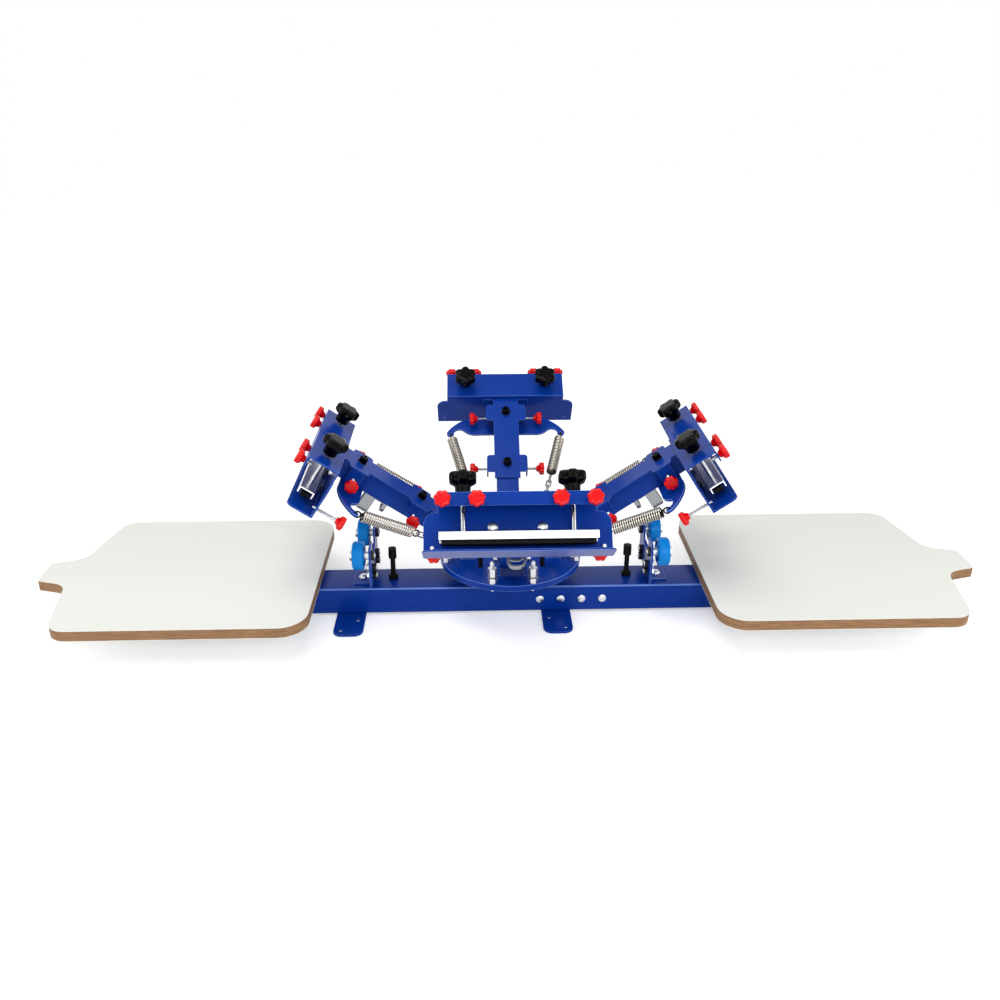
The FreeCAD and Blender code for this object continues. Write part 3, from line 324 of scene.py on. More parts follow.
# %% Rigid places as matrices
def turned(axis, degrees):
    """The 4 by 4 matrix of a turn about X, Y or Z."""
    a = math.radians(degrees)
    i, j = {"X": (1, 2), "Y": (2, 0), "Z": (0, 1)}[axis]
    matrix = np.eye(4)
    matrix[i, i] = matrix[j, j] = math.cos(a)
    matrix[j, i], matrix[i, j] = math.sin(a), -math.sin(a)
    return matrix


def shifted(x, y, z):
    """The 4 by 4 matrix of a move by (x, y, z)."""
    matrix = np.eye(4)
    matrix[:3, 3] = (x, y, z)
    return matrix


def scaled(factor):
    """The 4 by 4 matrix of an even scale."""
    return np.diag([factor, factor, factor, 1.0])


AIM = {"+Z": np.eye(4), "-Z": turned("X", 180), "+X": turned("Y", 90), "-X": turned("Y", -90),
       "+Y": turned("X", -90), "-Y": turned("X", 90)}

# %% [markdown]
# Each arm has its own frame
# The arms are the same piece four times, turned about the hub and lifted about their own pivot. So
# every arm piece is drawn once, in millimetres, with X along the arm from its pivot, Y across it and
# Z square to it. A matrix then puts it in place, read from the arm's hinge in the CAD model.

# %% Arm frames from the hinges
ARMS = ("right", "rear", "left", "front")


def arm_matrix(arm):
    """Turn about the hub, step out to the pivot, lift by the hinge's range, and millimetres to metres."""
    hinge = joints[arm + "_arm_lift"]
    x, y, z = hinge["pos_m"]
    around = math.degrees(math.atan2(y, x))
    lift = -hinge["range_deg"][0]
    return turned("Z", around) @ shifted(math.hypot(x, y), 0, z) @ turned("Y", -lift) @ scaled(MM)


arm_place = {arm: arm_matrix(arm) for arm in ARMS}
print("arms", {arm: np.round(arm_place[arm][:3, 3], 3).tolist() for arm in ARMS})

# %% [markdown]
# Painted sheet and tube with real edges
# A CAD solid has knife edges, and no real sheet does: a bend or a sawn edge always catches a thin
# line of light. Each painted node is copied, its loose triangles are merged into flat faces, and a
# small bevel rounds every sharp edge. On painted nodes the rounding takes a paler blue: the coat draws
# thin over an edge, and the paler blue also paints in the line of light the edge catches, a painted
# highlight. The copy then stands for the node.


# %% Bevelled copies of the solids
def skin(node, material, bevel_mm=0.5, segments=2, angle=30):
    """A copy of a CAD node with merged faces and rounded edges."""
    source = frame["nodes"][node]
    mesh = source.data.copy()
    mesh.materials.clear()
    mesh.materials.append(material)
    # painted highlight: on painted nodes the bevel faces take the paler edge blue
    if material == powder_coat:
        mesh.materials.append(edge_coat_and_highlight)
    work = bmesh.new()
    work.from_mesh(mesh)
    bmesh.ops.remove_doubles(work, verts=work.verts, dist=1e-6)
    bmesh.ops.dissolve_limit(work, angle_limit=math.radians(1), verts=work.verts, edges=work.edges)
    work.to_mesh(mesh)
    work.free()
    obj = bpy.data.objects.new(node + "_skin", mesh)
    bpy.context.scene.collection.objects.link(obj)
    mesh.shade_smooth()
    mesh.set_sharp_from_angle(angle=math.radians(angle))
    rounding = obj.modifiers.new("rounded_edges", "BEVEL")
    rounding.width = bevel_mm * MM
    rounding.segments = segments
    rounding.limit_method = "ANGLE"
    rounding.angle_limit = math.radians(angle)
    rounding.harden_normals = True
    rounding.material = len(mesh.materials) - 1
    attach(obj, body_of_node[node])
    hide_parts(node)
    return obj


BASE_SKINS = (("foot_plates", powder_coat, 0.7), ("bearing_pedestal", powder_coat, 0.8),
              ("carousel_disc", powder_coat, 0.9), ("gate_posts", powder_coat, 0.7),
              ("roller_plates", powder_coat, 0.7), ("platen_brackets", powder_coat, 0.5),
              ("king_bolt", chain_steel, 0.5), ("pivot_pins", bright_zinc, 0.5),
              ("arm_rests", black_rubber, 0.8))
for node, material, bevel in BASE_SKINS:
    skin(node, material, bevel)
for arm in ARMS:
    for word, material, bevel in (("arm_tube", powder_coat, 1.0), ("horn_bracket", powder_coat, 1.0),
                                  ("guide_tongue", chain_steel, 0.8), ("carrier_cover", powder_coat, 1.1),
                                  ("head_channel", powder_coat, 1.2), ("clamp_bar", pale_bar, 0.8)):
        skin("%s_%s" % (arm, word), material, bevel, segments=3)

# %% [markdown]
# The two beams are drawn tube
# A rectangular tube comes off the rollers with round corners, and the long bright line along a beam's
# upper edge is the light caught by such a corner. So both beams are drawn again as what they are: one
# rounded outline outside, one inside, carried along the length and closed at the cut ends. The faces
# of the upper corners take the paler edge blue, a painted highlight along that line.


# %% Rounded outline
def rounded_outline(corners, steps=14):
    """Each corner (x, y, radius) replaced by an arc that touches both its sides, as rows of points."""
    points = np.array([c[:2] for c in corners], float)
    before, after = np.roll(points, 1, axis=0) - points, np.roll(points, -1, axis=0) - points
    before /= np.linalg.norm(before, axis=1, keepdims=True)
    after /= np.linalg.norm(after, axis=1, keepdims=True)
    radius = np.array([c[2] for c in corners], float)
    half = np.arccos((before * after).sum(1)) / 2
    middle = before + after
    middle /= np.linalg.norm(middle, axis=1, keepdims=True)
    centre = points + middle * (radius / np.sin(half))[:, None]
    first = points + before * (radius / np.tan(half))[:, None] - centre
    last = points + after * (radius / np.tan(half))[:, None] - centre
    sweep_angle = math.pi - 2 * half
    whole = np.sin(sweep_angle)
    rows = [centre + first * (np.sin((1 - t) * sweep_angle) / whole)[:, None]
            + last * (np.sin(t * sweep_angle) / whole)[:, None] for t in np.linspace(0, 1, steps)]
    return np.stack(rows, axis=1).reshape(-1, 2)


# %% Beams as drawn tube
BEAM_HALF, BEAM_LOW, BEAM_HIGH, BEAM_WALL, BEAM_CORNER = 43, 4, 60, 3, 5
BEAM_GAP, CORNER_STEPS = 0.4, 7
CORNER_UP = (0.5, 0.95)  # how far upwards a face of the upper corners looks, as its normal's Z
BEAM_SPANS = {node: [1000 * side[0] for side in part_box(node)] for node in ("main_beam", "extension_beam")}


def box_outline(half, low, high, corner):
    """A rectangle from -half to half and low to high, with four equal corner arcs."""
    corners = ((-half, low), (half, low), (half, high), (-half, high))
    return rounded_outline([(x, y, corner) for x, y in corners], CORNER_STEPS)


outside = box_outline(BEAM_HALF, BEAM_LOW, BEAM_HIGH, BEAM_CORNER)
inside = box_outline(BEAM_HALF - BEAM_WALL, BEAM_LOW + BEAM_WALL, BEAM_HIGH - BEAM_WALL,
                     BEAM_CORNER - BEAM_WALL + 0.5)
for node, (start, end) in BEAM_SPANS.items():
    if node == "extension_beam":
        start = BEAM_SPANS["main_beam"][1] + BEAM_GAP
    rings = [(outside, start + BEAM_GAP), (outside, end - BEAM_GAP), (outside, end), (inside, end),
             (inside, start), (outside, start), (outside, start + BEAM_GAP)]
    grid = np.stack([np.column_stack([np.full(len(ring), x), ring]) for ring, x in rings]) * MM
    points, faces = joined([(grid, True)])
    beam = piece(node + "_tube", points, faces, powder_coat, "base", crease=35)
    # painted highlight: the upward-looking corner faces take the paler edge blue
    beam.data.materials.append(edge_coat_and_highlight)
    facing = np.empty(len(beam.data.polygons) * 3)
    beam.data.polygons.foreach_get("normal", facing)
    upward = facing.reshape(-1, 3)[:, 2]
    lit_corner_highlight = (upward > CORNER_UP[0]) & (upward < CORNER_UP[1])
    beam.data.polygons.foreach_set("material_index", lit_corner_highlight.astype(np.int32))
    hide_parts(node)
print("beams", BEAM_SPANS)

# %% [markdown]
# Lobed knobs
# A moulded knob has soft lobes for the fingers and a domed top. It is one polar surface: the radius
# swells and dips as a wave around the knob, and the profile's height tells how strong the wave is.


# %% Lobed knobs and threaded rods
def lobed(profile, lobes, depth, steps=84):
    """Rows of (radius, height, strength): round lobes with narrow valleys, |cos(lobes * turn / 2)|."""
    turn = np.arange(steps) * 2 * math.pi / steps
    radius, height, strength = np.array(profile, float).T
    wave = np.sqrt(np.cos(lobes * turn / 2) ** 2 + 0.02)
    reach = radius[:, None] * (1 - depth * strength[:, None] * (wave.max() - wave[None]))
    return np.stack([reach * np.cos(turn), reach * np.sin(turn), height[:, None] + 0 * reach], axis=-1)


def threaded(dia, length, pitch=1.25, depth=0.55, steps=12):
    """A screw: the radius dips where height over pitch less the turn is near a half."""
    rows = int(length / pitch * 5) + 2
    height = np.linspace(0, length, rows)
    turn = np.arange(steps) * 2 * math.pi / steps
    phase = (height[:, None] / pitch - turn[None] / (2 * math.pi)) % 1
    reach = dia / 2 - depth * (1 - abs(2 * phase - 1))
    tube = np.stack([reach * np.cos(turn), reach * np.sin(turn), height[:, None] + 0 * reach], axis=-1)
    ends = [np.zeros((1, steps, 3)) + [0, 0, h] for h in (0, length)]
    return np.concatenate([ends[0], tube, ends[1]])


knob_profile = [(0, -5, 0), (5.6, -5, 0), (6.2, -4.4, 0), (6.8, -1.5, 0.1), (8.4, 0.2, 0.4), (11.6, 1.6, 0.9),
                (13.0, 2.8, 1), (13.5, 4.2, 1), (13.5, 9.4, 1), (13.1, 10.8, 1), (11.8, 11.6, 0.9),
                (9.0, 12, 0.6), (5.0, 12, 0.2), (0, 12, 0)]
knob = lobed(knob_profile, 7, 0.17)
star_profile = [(0, 0, 0), (11.6, 0, 0.2), (12.8, 0.8, 0.4), (13.2, 3, 0.5), (13.4, 9, 0.5), (14.2, 12, 0.7),
                (17.5, 14.4, 0.9), (21.4, 16.4, 1), (23.4, 18.4, 1), (24.0, 20.5, 1), (24.0, 28.5, 1),
                (23.4, 31.0, 1), (21.6, 32.8, 0.95), (17.5, 33.7, 0.8), (11.0, 34, 0.4), (5.0, 34, 0.1),
                (0, 34, 0)]
star = lobed(star_profile, 6, 0.27, steps=96)
print("knob points", knob.shape, "star points", star.shape)

# %% [markdown]
# Nuts, bolt heads and washers
# A hexagon nut is a polar surface too. Its radius at each turn is the lesser of the hexagon's side and
# the turned cone of the chamfer, which gives the curved edges that real nuts have at their faces.


# %% Hexagons and domes
def hexagon(wide, high):
    """Six flats 'wide' apart: radius = least of wide / 2 / cos(turn from the flat) and the chamfer's cone."""
    turn = np.arange(48) * 2 * math.pi / 48
    flat = wide / 2 / np.cos((turn + math.pi / 6) % (math.pi / 3) - math.pi / 6)
    corner = wide / math.sqrt(3)
    rows = [(0, 0), (wide * 0.48, 0), (corner * 0.955, wide * 0.035), (corner, wide * 0.075),
            (corner, high - wide * 0.075), (corner * 0.955, high - wide * 0.035), (wide * 0.48, high),
            (0, high)]
    reach = np.stack([np.minimum(flat, limit) for limit, _ in rows])
    height = np.array([h for _, h in rows])[:, None] + 0 * reach
    return np.stack([reach * np.cos(turn), reach * np.sin(turn), height], axis=-1)


def dome(dia, high, steps=28):
    """A button head: a short rim, then a quarter ellipse up to the middle."""
    angle = np.radians(np.linspace(0, 90, 8))
    crown = [(dia / 2 * math.cos(a), high * 0.25 + high * 0.75 * math.sin(a)) for a in angle]
    return lathe([(0, 0), (dia / 2, 0)] + crown, steps)


def disc(dia, high, steps=28):
    """A washer or plain collar with eased rims."""
    ease = min(0.4, high / 3)
    return lathe([(0, 0), (dia / 2 - ease, 0), (dia / 2, ease), (dia / 2, high - ease),
                  (dia / 2 - ease, high), (0, high)], steps)


print("hexagon points", hexagon(16, 8).shape)

# %% [markdown]
# Where the screws sit on an arm
# The two side screw stations, the four flange screws, the two corner screws and the clamp rods are
# listed once in the arm's own millimetres, as in the solids.

# %% Screw places in the arm's frame
STATIONS = (124, 257)
TUBE_HALF, SIDE_KNOB_AT, SIDE_PERP = 23, 67, -1
HEAD_BACK, FLANGE_OUT, SHEET = 294, 356, 3
FLANGE_SIDES, FLANGE_PERP = (-118, -65, 65, 118), 18
SCREW_IN, SCREW_OUT = 13, 6
CORNER_SIDE, CORNER_PERP, CORNER_TIP, CORNER_LONG = 137, -45, 303, 53
CLAMP_AT, CLAMP_SIDE, CLAMP_TOP, CLAMP_ROD = 325, 87, -27, 65
LOCK_HIGH, LOCK_DIA, LOCK_SEAT = 13, 16, 22.2
CLAMP_SHOWN = 242
SIDE_LONG, FLANGE_LONG = SIDE_KNOB_AT - TUBE_HALF, SCREW_IN + SCREW_OUT
LOCK_RIM, LOCK_SOCKET, LOCK_DEEP = 2, 3.4, 4
PLATE_BOLT_SIDE, PLATE_BOLT_PERP, LOW_BOLT_PERP = 40, -11, -51
SEATED = 0.1  # a washer or head sinks this far into what it lies on
PAD_LOW, PAD_HIGH, PAD_HALF, PAD_CORNER = 19, 9, 8, 1.5


def screw_set(places, rod, length, head):
    """Rods and knobs at (x, y, z, way) places, in the arm's frame."""
    rods, heads = [], []
    for x, y, z, way in places:
        here = shifted(x, y, z) @ AIM[way]
        rods.append((moved(rod, here), True))
        heads.append((moved(head, here @ shifted(0, 0, length)), True))
    return rods, heads


side_places = [(x, side * TUBE_HALF, SIDE_PERP, "+Y" if side > 0 else "-Y")
               for x in STATIONS for side in (-1, 1)]
flange_places = [(FLANGE_OUT - SCREW_IN, y, FLANGE_PERP, "+X") for y in FLANGE_SIDES]
corner_places = [(CORNER_TIP, side * CORNER_SIDE, CORNER_PERP, "-X") for side in (-1, 1)]
clamp_places = [(CLAMP_AT, side * CLAMP_SIDE, CLAMP_TOP, "+Z") for side in (-1, 1)]
lock_head = lathe([(0, 0), (LOCK_DIA / 2 - 1, 0), (LOCK_DIA / 2, 1), (LOCK_DIA / 2, LOCK_HIGH - LOCK_RIM),
                   (LOCK_DIA / 2 - LOCK_RIM, LOCK_HIGH), (LOCK_SOCKET, LOCK_HIGH),
                   (LOCK_SOCKET, LOCK_HIGH - LOCK_DEEP), (0, LOCK_HIGH - LOCK_DEEP)], 40)

# %% Knobs and screws on each arm
for arm in ARMS:
    place = arm_place[arm]
    side_rods, side_knobs = screw_set(side_places, threaded(6, SIDE_LONG), SIDE_LONG, knob)
    flange_rods, flange_knobs = screw_set(flange_places, threaded(8, FLANGE_LONG), FLANGE_LONG, knob)
    corners_here = corner_places if arm != "rear" else []
    corner_rods, corner_knobs = screw_set(corners_here, threaded(6, CORNER_LONG), CORNER_LONG, knob)
    clamp_rods, clamp_stars = screw_set(clamp_places, disc(8, CLAMP_ROD), CLAMP_ROD, star)
    locks = [(moved(lock_head, shifted(x, 0, LOCK_SEAT)), True) for x in STATIONS]
    washers = [(moved(disc(18, 1.0), shifted(x, 0, LOCK_SEAT)), True) for x in STATIONS]
    inside_x = HEAD_BACK + SHEET
    plate_bolts, low_bolts = [], []
    for side in (-1, 1):
        across = side * PLATE_BOLT_SIDE
        for grid, out in ((disc(17, 1.2), -SEATED), (dome(16.5, 5.5), 1.0)):
            here = shifted(inside_x + out, across, PLATE_BOLT_PERP) @ AIM["+X"]
            plate_bolts.append((moved(grid, here), True))
        here = shifted(inside_x - SEATED, across, LOW_BOLT_PERP) @ AIM["+X"]
        low_bolts.append((moved(dome(11, 5), here), True))
    # painted shade: a black rubber pad under the clamp bar, kept deep black so that it also stands in for the
    # shadow in the gap between bar and lip
    pad = box_outline(CLAMP_SHOWN / 2, CLAMP_TOP - PAD_LOW, CLAMP_TOP - PAD_HIGH, PAD_CORNER)
    pad_ends = (CLAMP_AT - PAD_HALF, CLAMP_AT + PAD_HALF)
    pad_rings = np.stack([np.column_stack([np.full(len(pad), x), pad]) for x in pad_ends])
    pad_middle = pad_rings.mean(axis=1, keepdims=True) + 0 * pad_rings
    pad_and_gap_shade = [(np.stack([pad_middle[0], pad_rings[0], pad_rings[1], pad_middle[1]]), True)]
    for name, grids, material, part, node_slot, node in (
            ("side_knobs", side_knobs, red_plastic, "arm", "red_knob", "adjust_screws"),
            ("side_rods", side_rods, bright_zinc, "arm", "bright_steel", None),
            ("lock_screws", locks, black_plastic, "arm", "black_knob", None),
            ("frame_knobs", flange_knobs + corner_knobs, red_plastic, "head", "red_knob", "frame_screws"),
            ("frame_rods", flange_rods + corner_rods, bright_zinc, "head", "bright_steel", None),
            ("star_knobs", clamp_stars, black_plastic, "clamp", "black_knob", "clamp_knobs"),
            ("clamp_rods", clamp_rods, polished_rod, "clamp", "bright_steel", None),
            ("clamp_pad", pad_and_gap_shade, black_rubber, "clamp", "black_rubber", None),
            ("plate_bolts", plate_bolts, bright_zinc, "head", "bright_steel", None),
            ("low_bolts", low_bolts, black_steel, "head", "bright_steel", None),
            ("lock_washers", washers, black_steel, "arm", "bright_steel", None)):
        points, faces = joined(grids)
        made = piece("%s_%s" % (arm, name), moved(points, place), faces, material,
                     "%s_%s" % (arm, part))
        if node:
            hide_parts("%s_%s" % (arm, node))
print("knob pieces on", ARMS)

# %% [markdown]
# Wound springs and their chains
# Each arm hangs on two extension springs. Close wound wire runs as a helix around the line from the
# horn's tip towards the post on the disc, ends in a hook, and a short chain of welded links joins it
# to the post. The helix is exact: along the line by the pitch, and around it by the turn.

# %% Spring and chain
HORN_HOLE = (232, 122, -22.5)
POST_OUT, POST_Z, POST_RING = 60, 144, 7.6
SPRING_DIA, WIRE, TURNS, SPRING_START, SPRING_LONG = 23, 3.2, 24, 14, 106
LOOP, LINK_WIRE, LINK_LONG, LINK_WIDE = 6.2, 3.4, 22, 13


def spring_line(arm, side):
    """Start at the horn's hole and end at the post's axis, both in world metres."""
    start = moved(np.array([[HORN_HOLE[0], side * HORN_HOLE[1], HORN_HOLE[2]]]), arm_place[arm])[0]
    x, y, _ = joints[arm + "_arm_lift"]["pos_m"]
    out = np.array([x, y]) / math.hypot(x, y)
    flat = (out + side * np.array([-out[1], out[0]])) * POST_OUT * MM
    return start, np.array([*flat, POST_Z * MM])


def line_frame(start, end):
    """Unit vectors along a line, level across it, and square to both."""
    way = (end - start) / np.linalg.norm(end - start)
    side = np.cross(way, [0, 0, 1.0])
    side /= np.linalg.norm(side)
    return way, side, np.cross(side, way)


def coil(start, way, side, up):
    """Centre line of the wire: along by pitch times turn, around by the turn; ends draw in to the axis."""
    turn = np.linspace(0, TURNS, TURNS * 18 + 1)
    angle = 2 * math.pi * turn
    ease = np.clip(np.minimum(turn, TURNS - turn) / 0.75, 0.35, 1)
    reach = ease * (SPRING_DIA - WIRE) / 2 * MM
    radial = np.cos(angle)[:, None] * side + np.sin(angle)[:, None] * up
    along = (SPRING_START + SPRING_LONG * turn / TURNS) * MM
    return start + along[:, None] * way + reach[:, None] * radial, radial


def ring(centre, u, v, radius, degrees=360, steps=28):
    """A loop of wire: centre + radius (cos t u + sin t v), with the loop's axis as its side vectors."""
    turn = np.radians(np.linspace(0, degrees, steps))
    path = centre + radius * (np.cos(turn)[:, None] * u + np.sin(turn)[:, None] * v)
    return path, np.repeat(np.cross(u, v)[None], steps, axis=0)


def link_tube(centre, way, across):
    """A welded link: a wire bent round an oblong, two half circles joined by straight sides."""
    half, radius = (LINK_LONG - LINK_WIDE) / 2 * MM, (LINK_WIDE - LINK_WIRE) / 2 * MM
    turn = np.linspace(0, 2 * math.pi, 25)
    ends = np.sign(np.round(np.cos(turn), 6) + 1e-9)[:, None] * half * way
    path = centre + ends + radius * (np.cos(turn)[:, None] * way + np.sin(turn)[:, None] * across)
    outward = np.cos(turn)[:, None] * way + np.sin(turn)[:, None] * across
    normal = np.repeat(np.cross(way, across)[None], len(turn), axis=0)
    ring_turn = np.arange(8) * 2 * math.pi / 8
    return path[:, None] + LINK_WIRE / 2 * MM * (outward[:, None] * np.cos(ring_turn)[None, :, None]
                                                  + normal[:, None] * np.sin(ring_turn)[None, :, None])


def openness(mesh, start, way, least, most):
    """Writes the attribute open: 0 at the least distance from the spring's axis, 1 at the most."""
    points = np.empty(len(mesh.vertices) * 3)
    mesh.vertices.foreach_get("co", points)
    away = points.reshape(-1, 3) - start
    distance = np.linalg.norm(away - (away @ way)[:, None] * way, axis=1)
    layer = mesh.attributes.new("open", "FLOAT", "POINT")
    layer.data.foreach_set("value", np.clip((distance - least) / (most - least), 0, 1))


# %% Springs on each arm
for arm in ARMS:
    plate_up = arm_place[arm][:3, 2] / MM
    for side, word in ((-1, "a"), (1, "b")):
        start, end = spring_line(arm, side)
        way, across, up = line_frame(start, end)
        helix, radial = coil(start, way, across, up)
        hook_side = plate_up - (plate_up @ way) * way
        hook_side /= np.linalg.norm(hook_side)
        far = start + (SPRING_START + SPRING_LONG) * MM * way
        loops = [ring(start + LOOP * MM * way, -way, hook_side, LOOP * MM),
                 ring(far + (LOOP - 1) * MM * way, -way, up, LOOP * MM)]
        grids = [(sweep(helix, radial, WIRE / 2 * MM), True)]
        grids += [(sweep(path, normal, WIRE / 2 * MM), True) for path, normal in loops]
        points, faces = joined(grids)
        spring = piece("%s_spring_%s" % (arm, word), points, faces, spring_wire, None)
        # the attribute open is the mask for the wire's painted shade
        openness(spring.data, start, way, (SPRING_DIA / 2 - WIRE) * MM, SPRING_DIA / 2 * MM)
        chain_from = (SPRING_START + SPRING_LONG + 2 * LOOP - 1 - 2 * WIRE) * MM
        room = np.linalg.norm(end - start) - POST_RING * MM - chain_from
        count = max(1, round(room / ((LINK_LONG - 2 * LINK_WIRE) * MM)))
        step = (room - LINK_LONG * MM) / (count - 1)
        grids = [(link_tube(start + way * (chain_from + LINK_LONG / 2 * MM + step * k), way,
                            up if (count - k) % 2 else across), True) for k in range(count)]
        points, faces = joined(grids)
        chain = piece("%s_chain_%s" % (arm, word), points, faces, chain_steel, None)
        for obj in (spring, chain):
            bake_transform(obj)
        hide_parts(arm + "_lift_springs")
    print(arm, "spring of", TURNS, "turns and", count, "links")

# %% [markdown]
# Bolts of the beam, the hub and the gates
# Bright bolts on deep blue paint are what the eye finds first, so each has its own form: button heads
# on the beam's splice, threaded studs with a nut and a sleeve on the hub disc, posts for the chains,
# and on the gates black nuts whose bolt ends shine.

# %% Splice bolts and hub studs
SPLICE_XS, SPLICE_Z = (57.8, 99.2, 140.8, 182.2), 32
STUD_OUT, STUD_SIDE, STUD_LOW, STUD_TOP, DISC_TOP = 124, 38, 98, 160, 116
splice = [(moved(grid, shifted(x, -BEAM_HALF + inset, SPLICE_Z) @ AIM["-Y"]), True)
          for x in SPLICE_XS for grid, inset in ((dome(16.5, 4.2), 0), (disc(8, 9), 9))]
stud_rods, stud_sleeves, stud_washers = [], [], []
for quarter in range(4):
    for side in (-1, 1):
        spot = turned("Z", 90 * quarter) @ shifted(STUD_OUT, side * STUD_SIDE, 0)
        tip = lathe([(0, 0), (2.6, 0), (5.4, 7), (5.4, 11), (0, 11)], 16)
        rod = threaded(9.6, STUD_TOP - STUD_LOW - 6)
        stud_rods += [(moved(rod, spot @ shifted(0, 0, STUD_LOW + 4)), True),
                      (moved(tip, spot @ shifted(0, 0, STUD_LOW)), True),
                      (moved(dome(10, 4), spot @ shifted(0, 0, STUD_TOP - 4)), True)]
        stud_sleeves += [(moved(hexagon(17, 11), spot @ shifted(0, 0, DISC_TOP)), True),
                         (moved(hexagon(16, 18), spot @ shifted(0, 0, DISC_TOP + 13)), True)]
        stud_washers += [(moved(disc(15, 2), spot @ shifted(0, 0, DISC_TOP + 11)), True)]
post_stem = [(0, 0), (4.6, 0), (4.6, 22.4), (0, 22.4)]
post_ring = [(0, 22), (6.6, 22.4), (7.6, 25), (7.6, 28), (6.2, 32), (3.4, 33), (0, 33)]
for x, y in ((60, 60), (60, -60), (-60, 60), (-60, -60)):
    stud_washers.append((moved(lathe(post_stem, 24), shifted(x, y, DISC_TOP)), True))
    stud_sleeves.append((moved(lathe(post_ring, 24), shifted(x, y, DISC_TOP)), True))

# %% Gate bolts and axles
GATE_HUB, GATE_OUT, AXLE_END = 270.9, 278.9, 306.1
ROLLER_Y, ROLLER_Z = 51.4, 139
gate_bright, gate_black = [], []
for way, gate in (("-X", 0), ("+X", 180)):
    at = turned("Z", gate)
    for y in (-33, 33):
        for z in (86, 103):
            gate_black.append((moved(disc(16, 6.5), at @ shifted(GATE_HUB, y, z) @ AIM["-X"]), True))
            gate_bright += [(moved(dome(10, 3), at @ shifted(GATE_HUB - 5.9, y, z) @ AIM["-X"]), True),
                            (moved(hexagon(13, 5), at @ shifted(GATE_OUT, y, z) @ AIM["+X"]), True),
                            (moved(disc(8, 9), at @ shifted(GATE_HUB - 0.5, y, z) @ AIM["+X"]), True)]
    for y in (-ROLLER_Y, ROLLER_Y):
        gate_black.append((moved(hexagon(17, 6), at @ shifted(GATE_HUB, y, ROLLER_Z) @ AIM["-X"]), True))
        gate_bright += [(moved(dome(9.6, 3), at @ shifted(GATE_HUB - 5.6, y, ROLLER_Z) @ AIM["-X"]), True),
                        (moved(disc(10, 36), at @ shifted(GATE_HUB - 0.5, y, ROLLER_Z) @ AIM["+X"]), True),
                        (moved(disc(16, 9), at @ shifted(274.9, y, ROLLER_Z) @ AIM["+X"]), True),
                        (moved(hexagon(17, 6), at @ shifted(AXLE_END, y, ROLLER_Z) @ AIM["+X"]), True)]
    gate_bright += [(moved(disc(19, 1.6), at @ shifted(295, 0, 64)), True),
                    (moved(dome(16, 4.6), at @ shifted(295, 0, 65.4)), True)]
for name, grids, material, body, node in (
        ("splice_heads", splice, bright_zinc, "base", "splice_bolts"),
        ("stud_threads", stud_rods, bright_zinc, "carousel", "disc_studs"),
        ("stud_sleeves", stud_sleeves, bright_zinc, "carousel", None),
        ("stud_washers", stud_washers, black_steel, "carousel", None),
        ("gate_bright_bolts", gate_bright, bright_zinc, "base", "gate_bolts"),
        ("gate_black_nuts", gate_black, black_steel, "base", None)):
    points, faces = joined(grids)
    made = piece(name, points * MM, faces, material, body, crease=32)
    if node:
        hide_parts(node)
print("bolts set")

# %% [markdown]
# Boards with laminate faces
# A board is a sandwich: white laminate, brown core, white laminate. Its outline is a set of straight
# lines and arcs, drawn once as an array of points. Three layers share that outline, and the laminate's
# upper edge is eased by a fraction of a millimetre so that it catches the light.

# %% Board outline
BOARD_GAP, BOARD_LONG, BOARD_HALF, BOARD_THICK = 377, 550, 225, 22
BOARD_LOW = 64
LAMINATE = 1.2
BOARD_CORNER, SHOULDER_CORNER, TAB_CORNER = 52, 38, 6
SHOULDER_OUT, NECK_OUT, NECK_HALF, TAB_HALF = 459, 489, 54, 36.5
half_board = [(0, BOARD_HALF, BOARD_CORNER), (SHOULDER_OUT, BOARD_HALF, SHOULDER_CORNER),
              (NECK_OUT, NECK_HALF, SHOULDER_CORNER), (BOARD_LONG, TAB_HALF, TAB_CORNER)]
board_corners = [(x, -y, r) for x, y, r in half_board] + half_board[::-1]
board_outline = rounded_outline(board_corners)
print("outline points", board_outline.shape)


# %% Layers of a board
def slab(outline, levels, insets):
    """Rings of one outline at several heights, each pulled in by its inset."""
    forward = np.roll(outline, -1, axis=0) - np.roll(outline, 1, axis=0)
    forward /= np.linalg.norm(forward, axis=1, keepdims=True)
    inward = np.stack([-forward[:, 1], forward[:, 0]], axis=-1)
    rings = [np.column_stack([outline + inward * inset, np.full(len(outline), level)])
             for level, inset in zip(levels, insets)]
    return np.stack(rings)


def capped(rings):
    """Points and faces of stacked rings, with one flat face at each end."""
    rows, columns = rings.shape[:2]
    faces = grid_faces(rows, columns).tolist()
    faces.append(list(range(columns))[::-1])
    faces.append([(rows - 1) * columns + k for k in range(columns)])
    return rings.reshape(-1, 3), faces


for side, turn in (("right", 0), ("left", 180)):
    here = turned("Z", turn) @ shifted(BOARD_GAP * MM, 0, BOARD_LOW * MM) @ scaled(MM)
    layers = (("core", board_core, [LAMINATE, BOARD_THICK - LAMINATE], [0.1, 0.1]),
              ("face", white_laminate, [BOARD_THICK - LAMINATE, BOARD_THICK - 0.4, BOARD_THICK], [0, 0, 0.4]),
              ("back", white_laminate, [0, LAMINATE], [0, 0]))
    for word, material, levels, insets in layers:
        points, faces = capped(slab(board_outline, levels, insets))
        mesh = bpy.data.meshes.new("board_%s_%s" % (side, word))
        mesh.from_pydata(moved(points, here).tolist(), [], faces)
        mesh.materials.append(material)
        obj = bpy.data.objects.new(mesh.name, mesh)
        bpy.context.scene.collection.objects.link(obj)
        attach(obj, "base")
        if word == "core":
            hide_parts("platen_" + side)
print("boards laid")

# %% [markdown]
# Rollers of the gates
# Each gate has two moulded rollers. A lathe profile gives the tread with rounded shoulders, the
# recessed web and the hub around the axle.

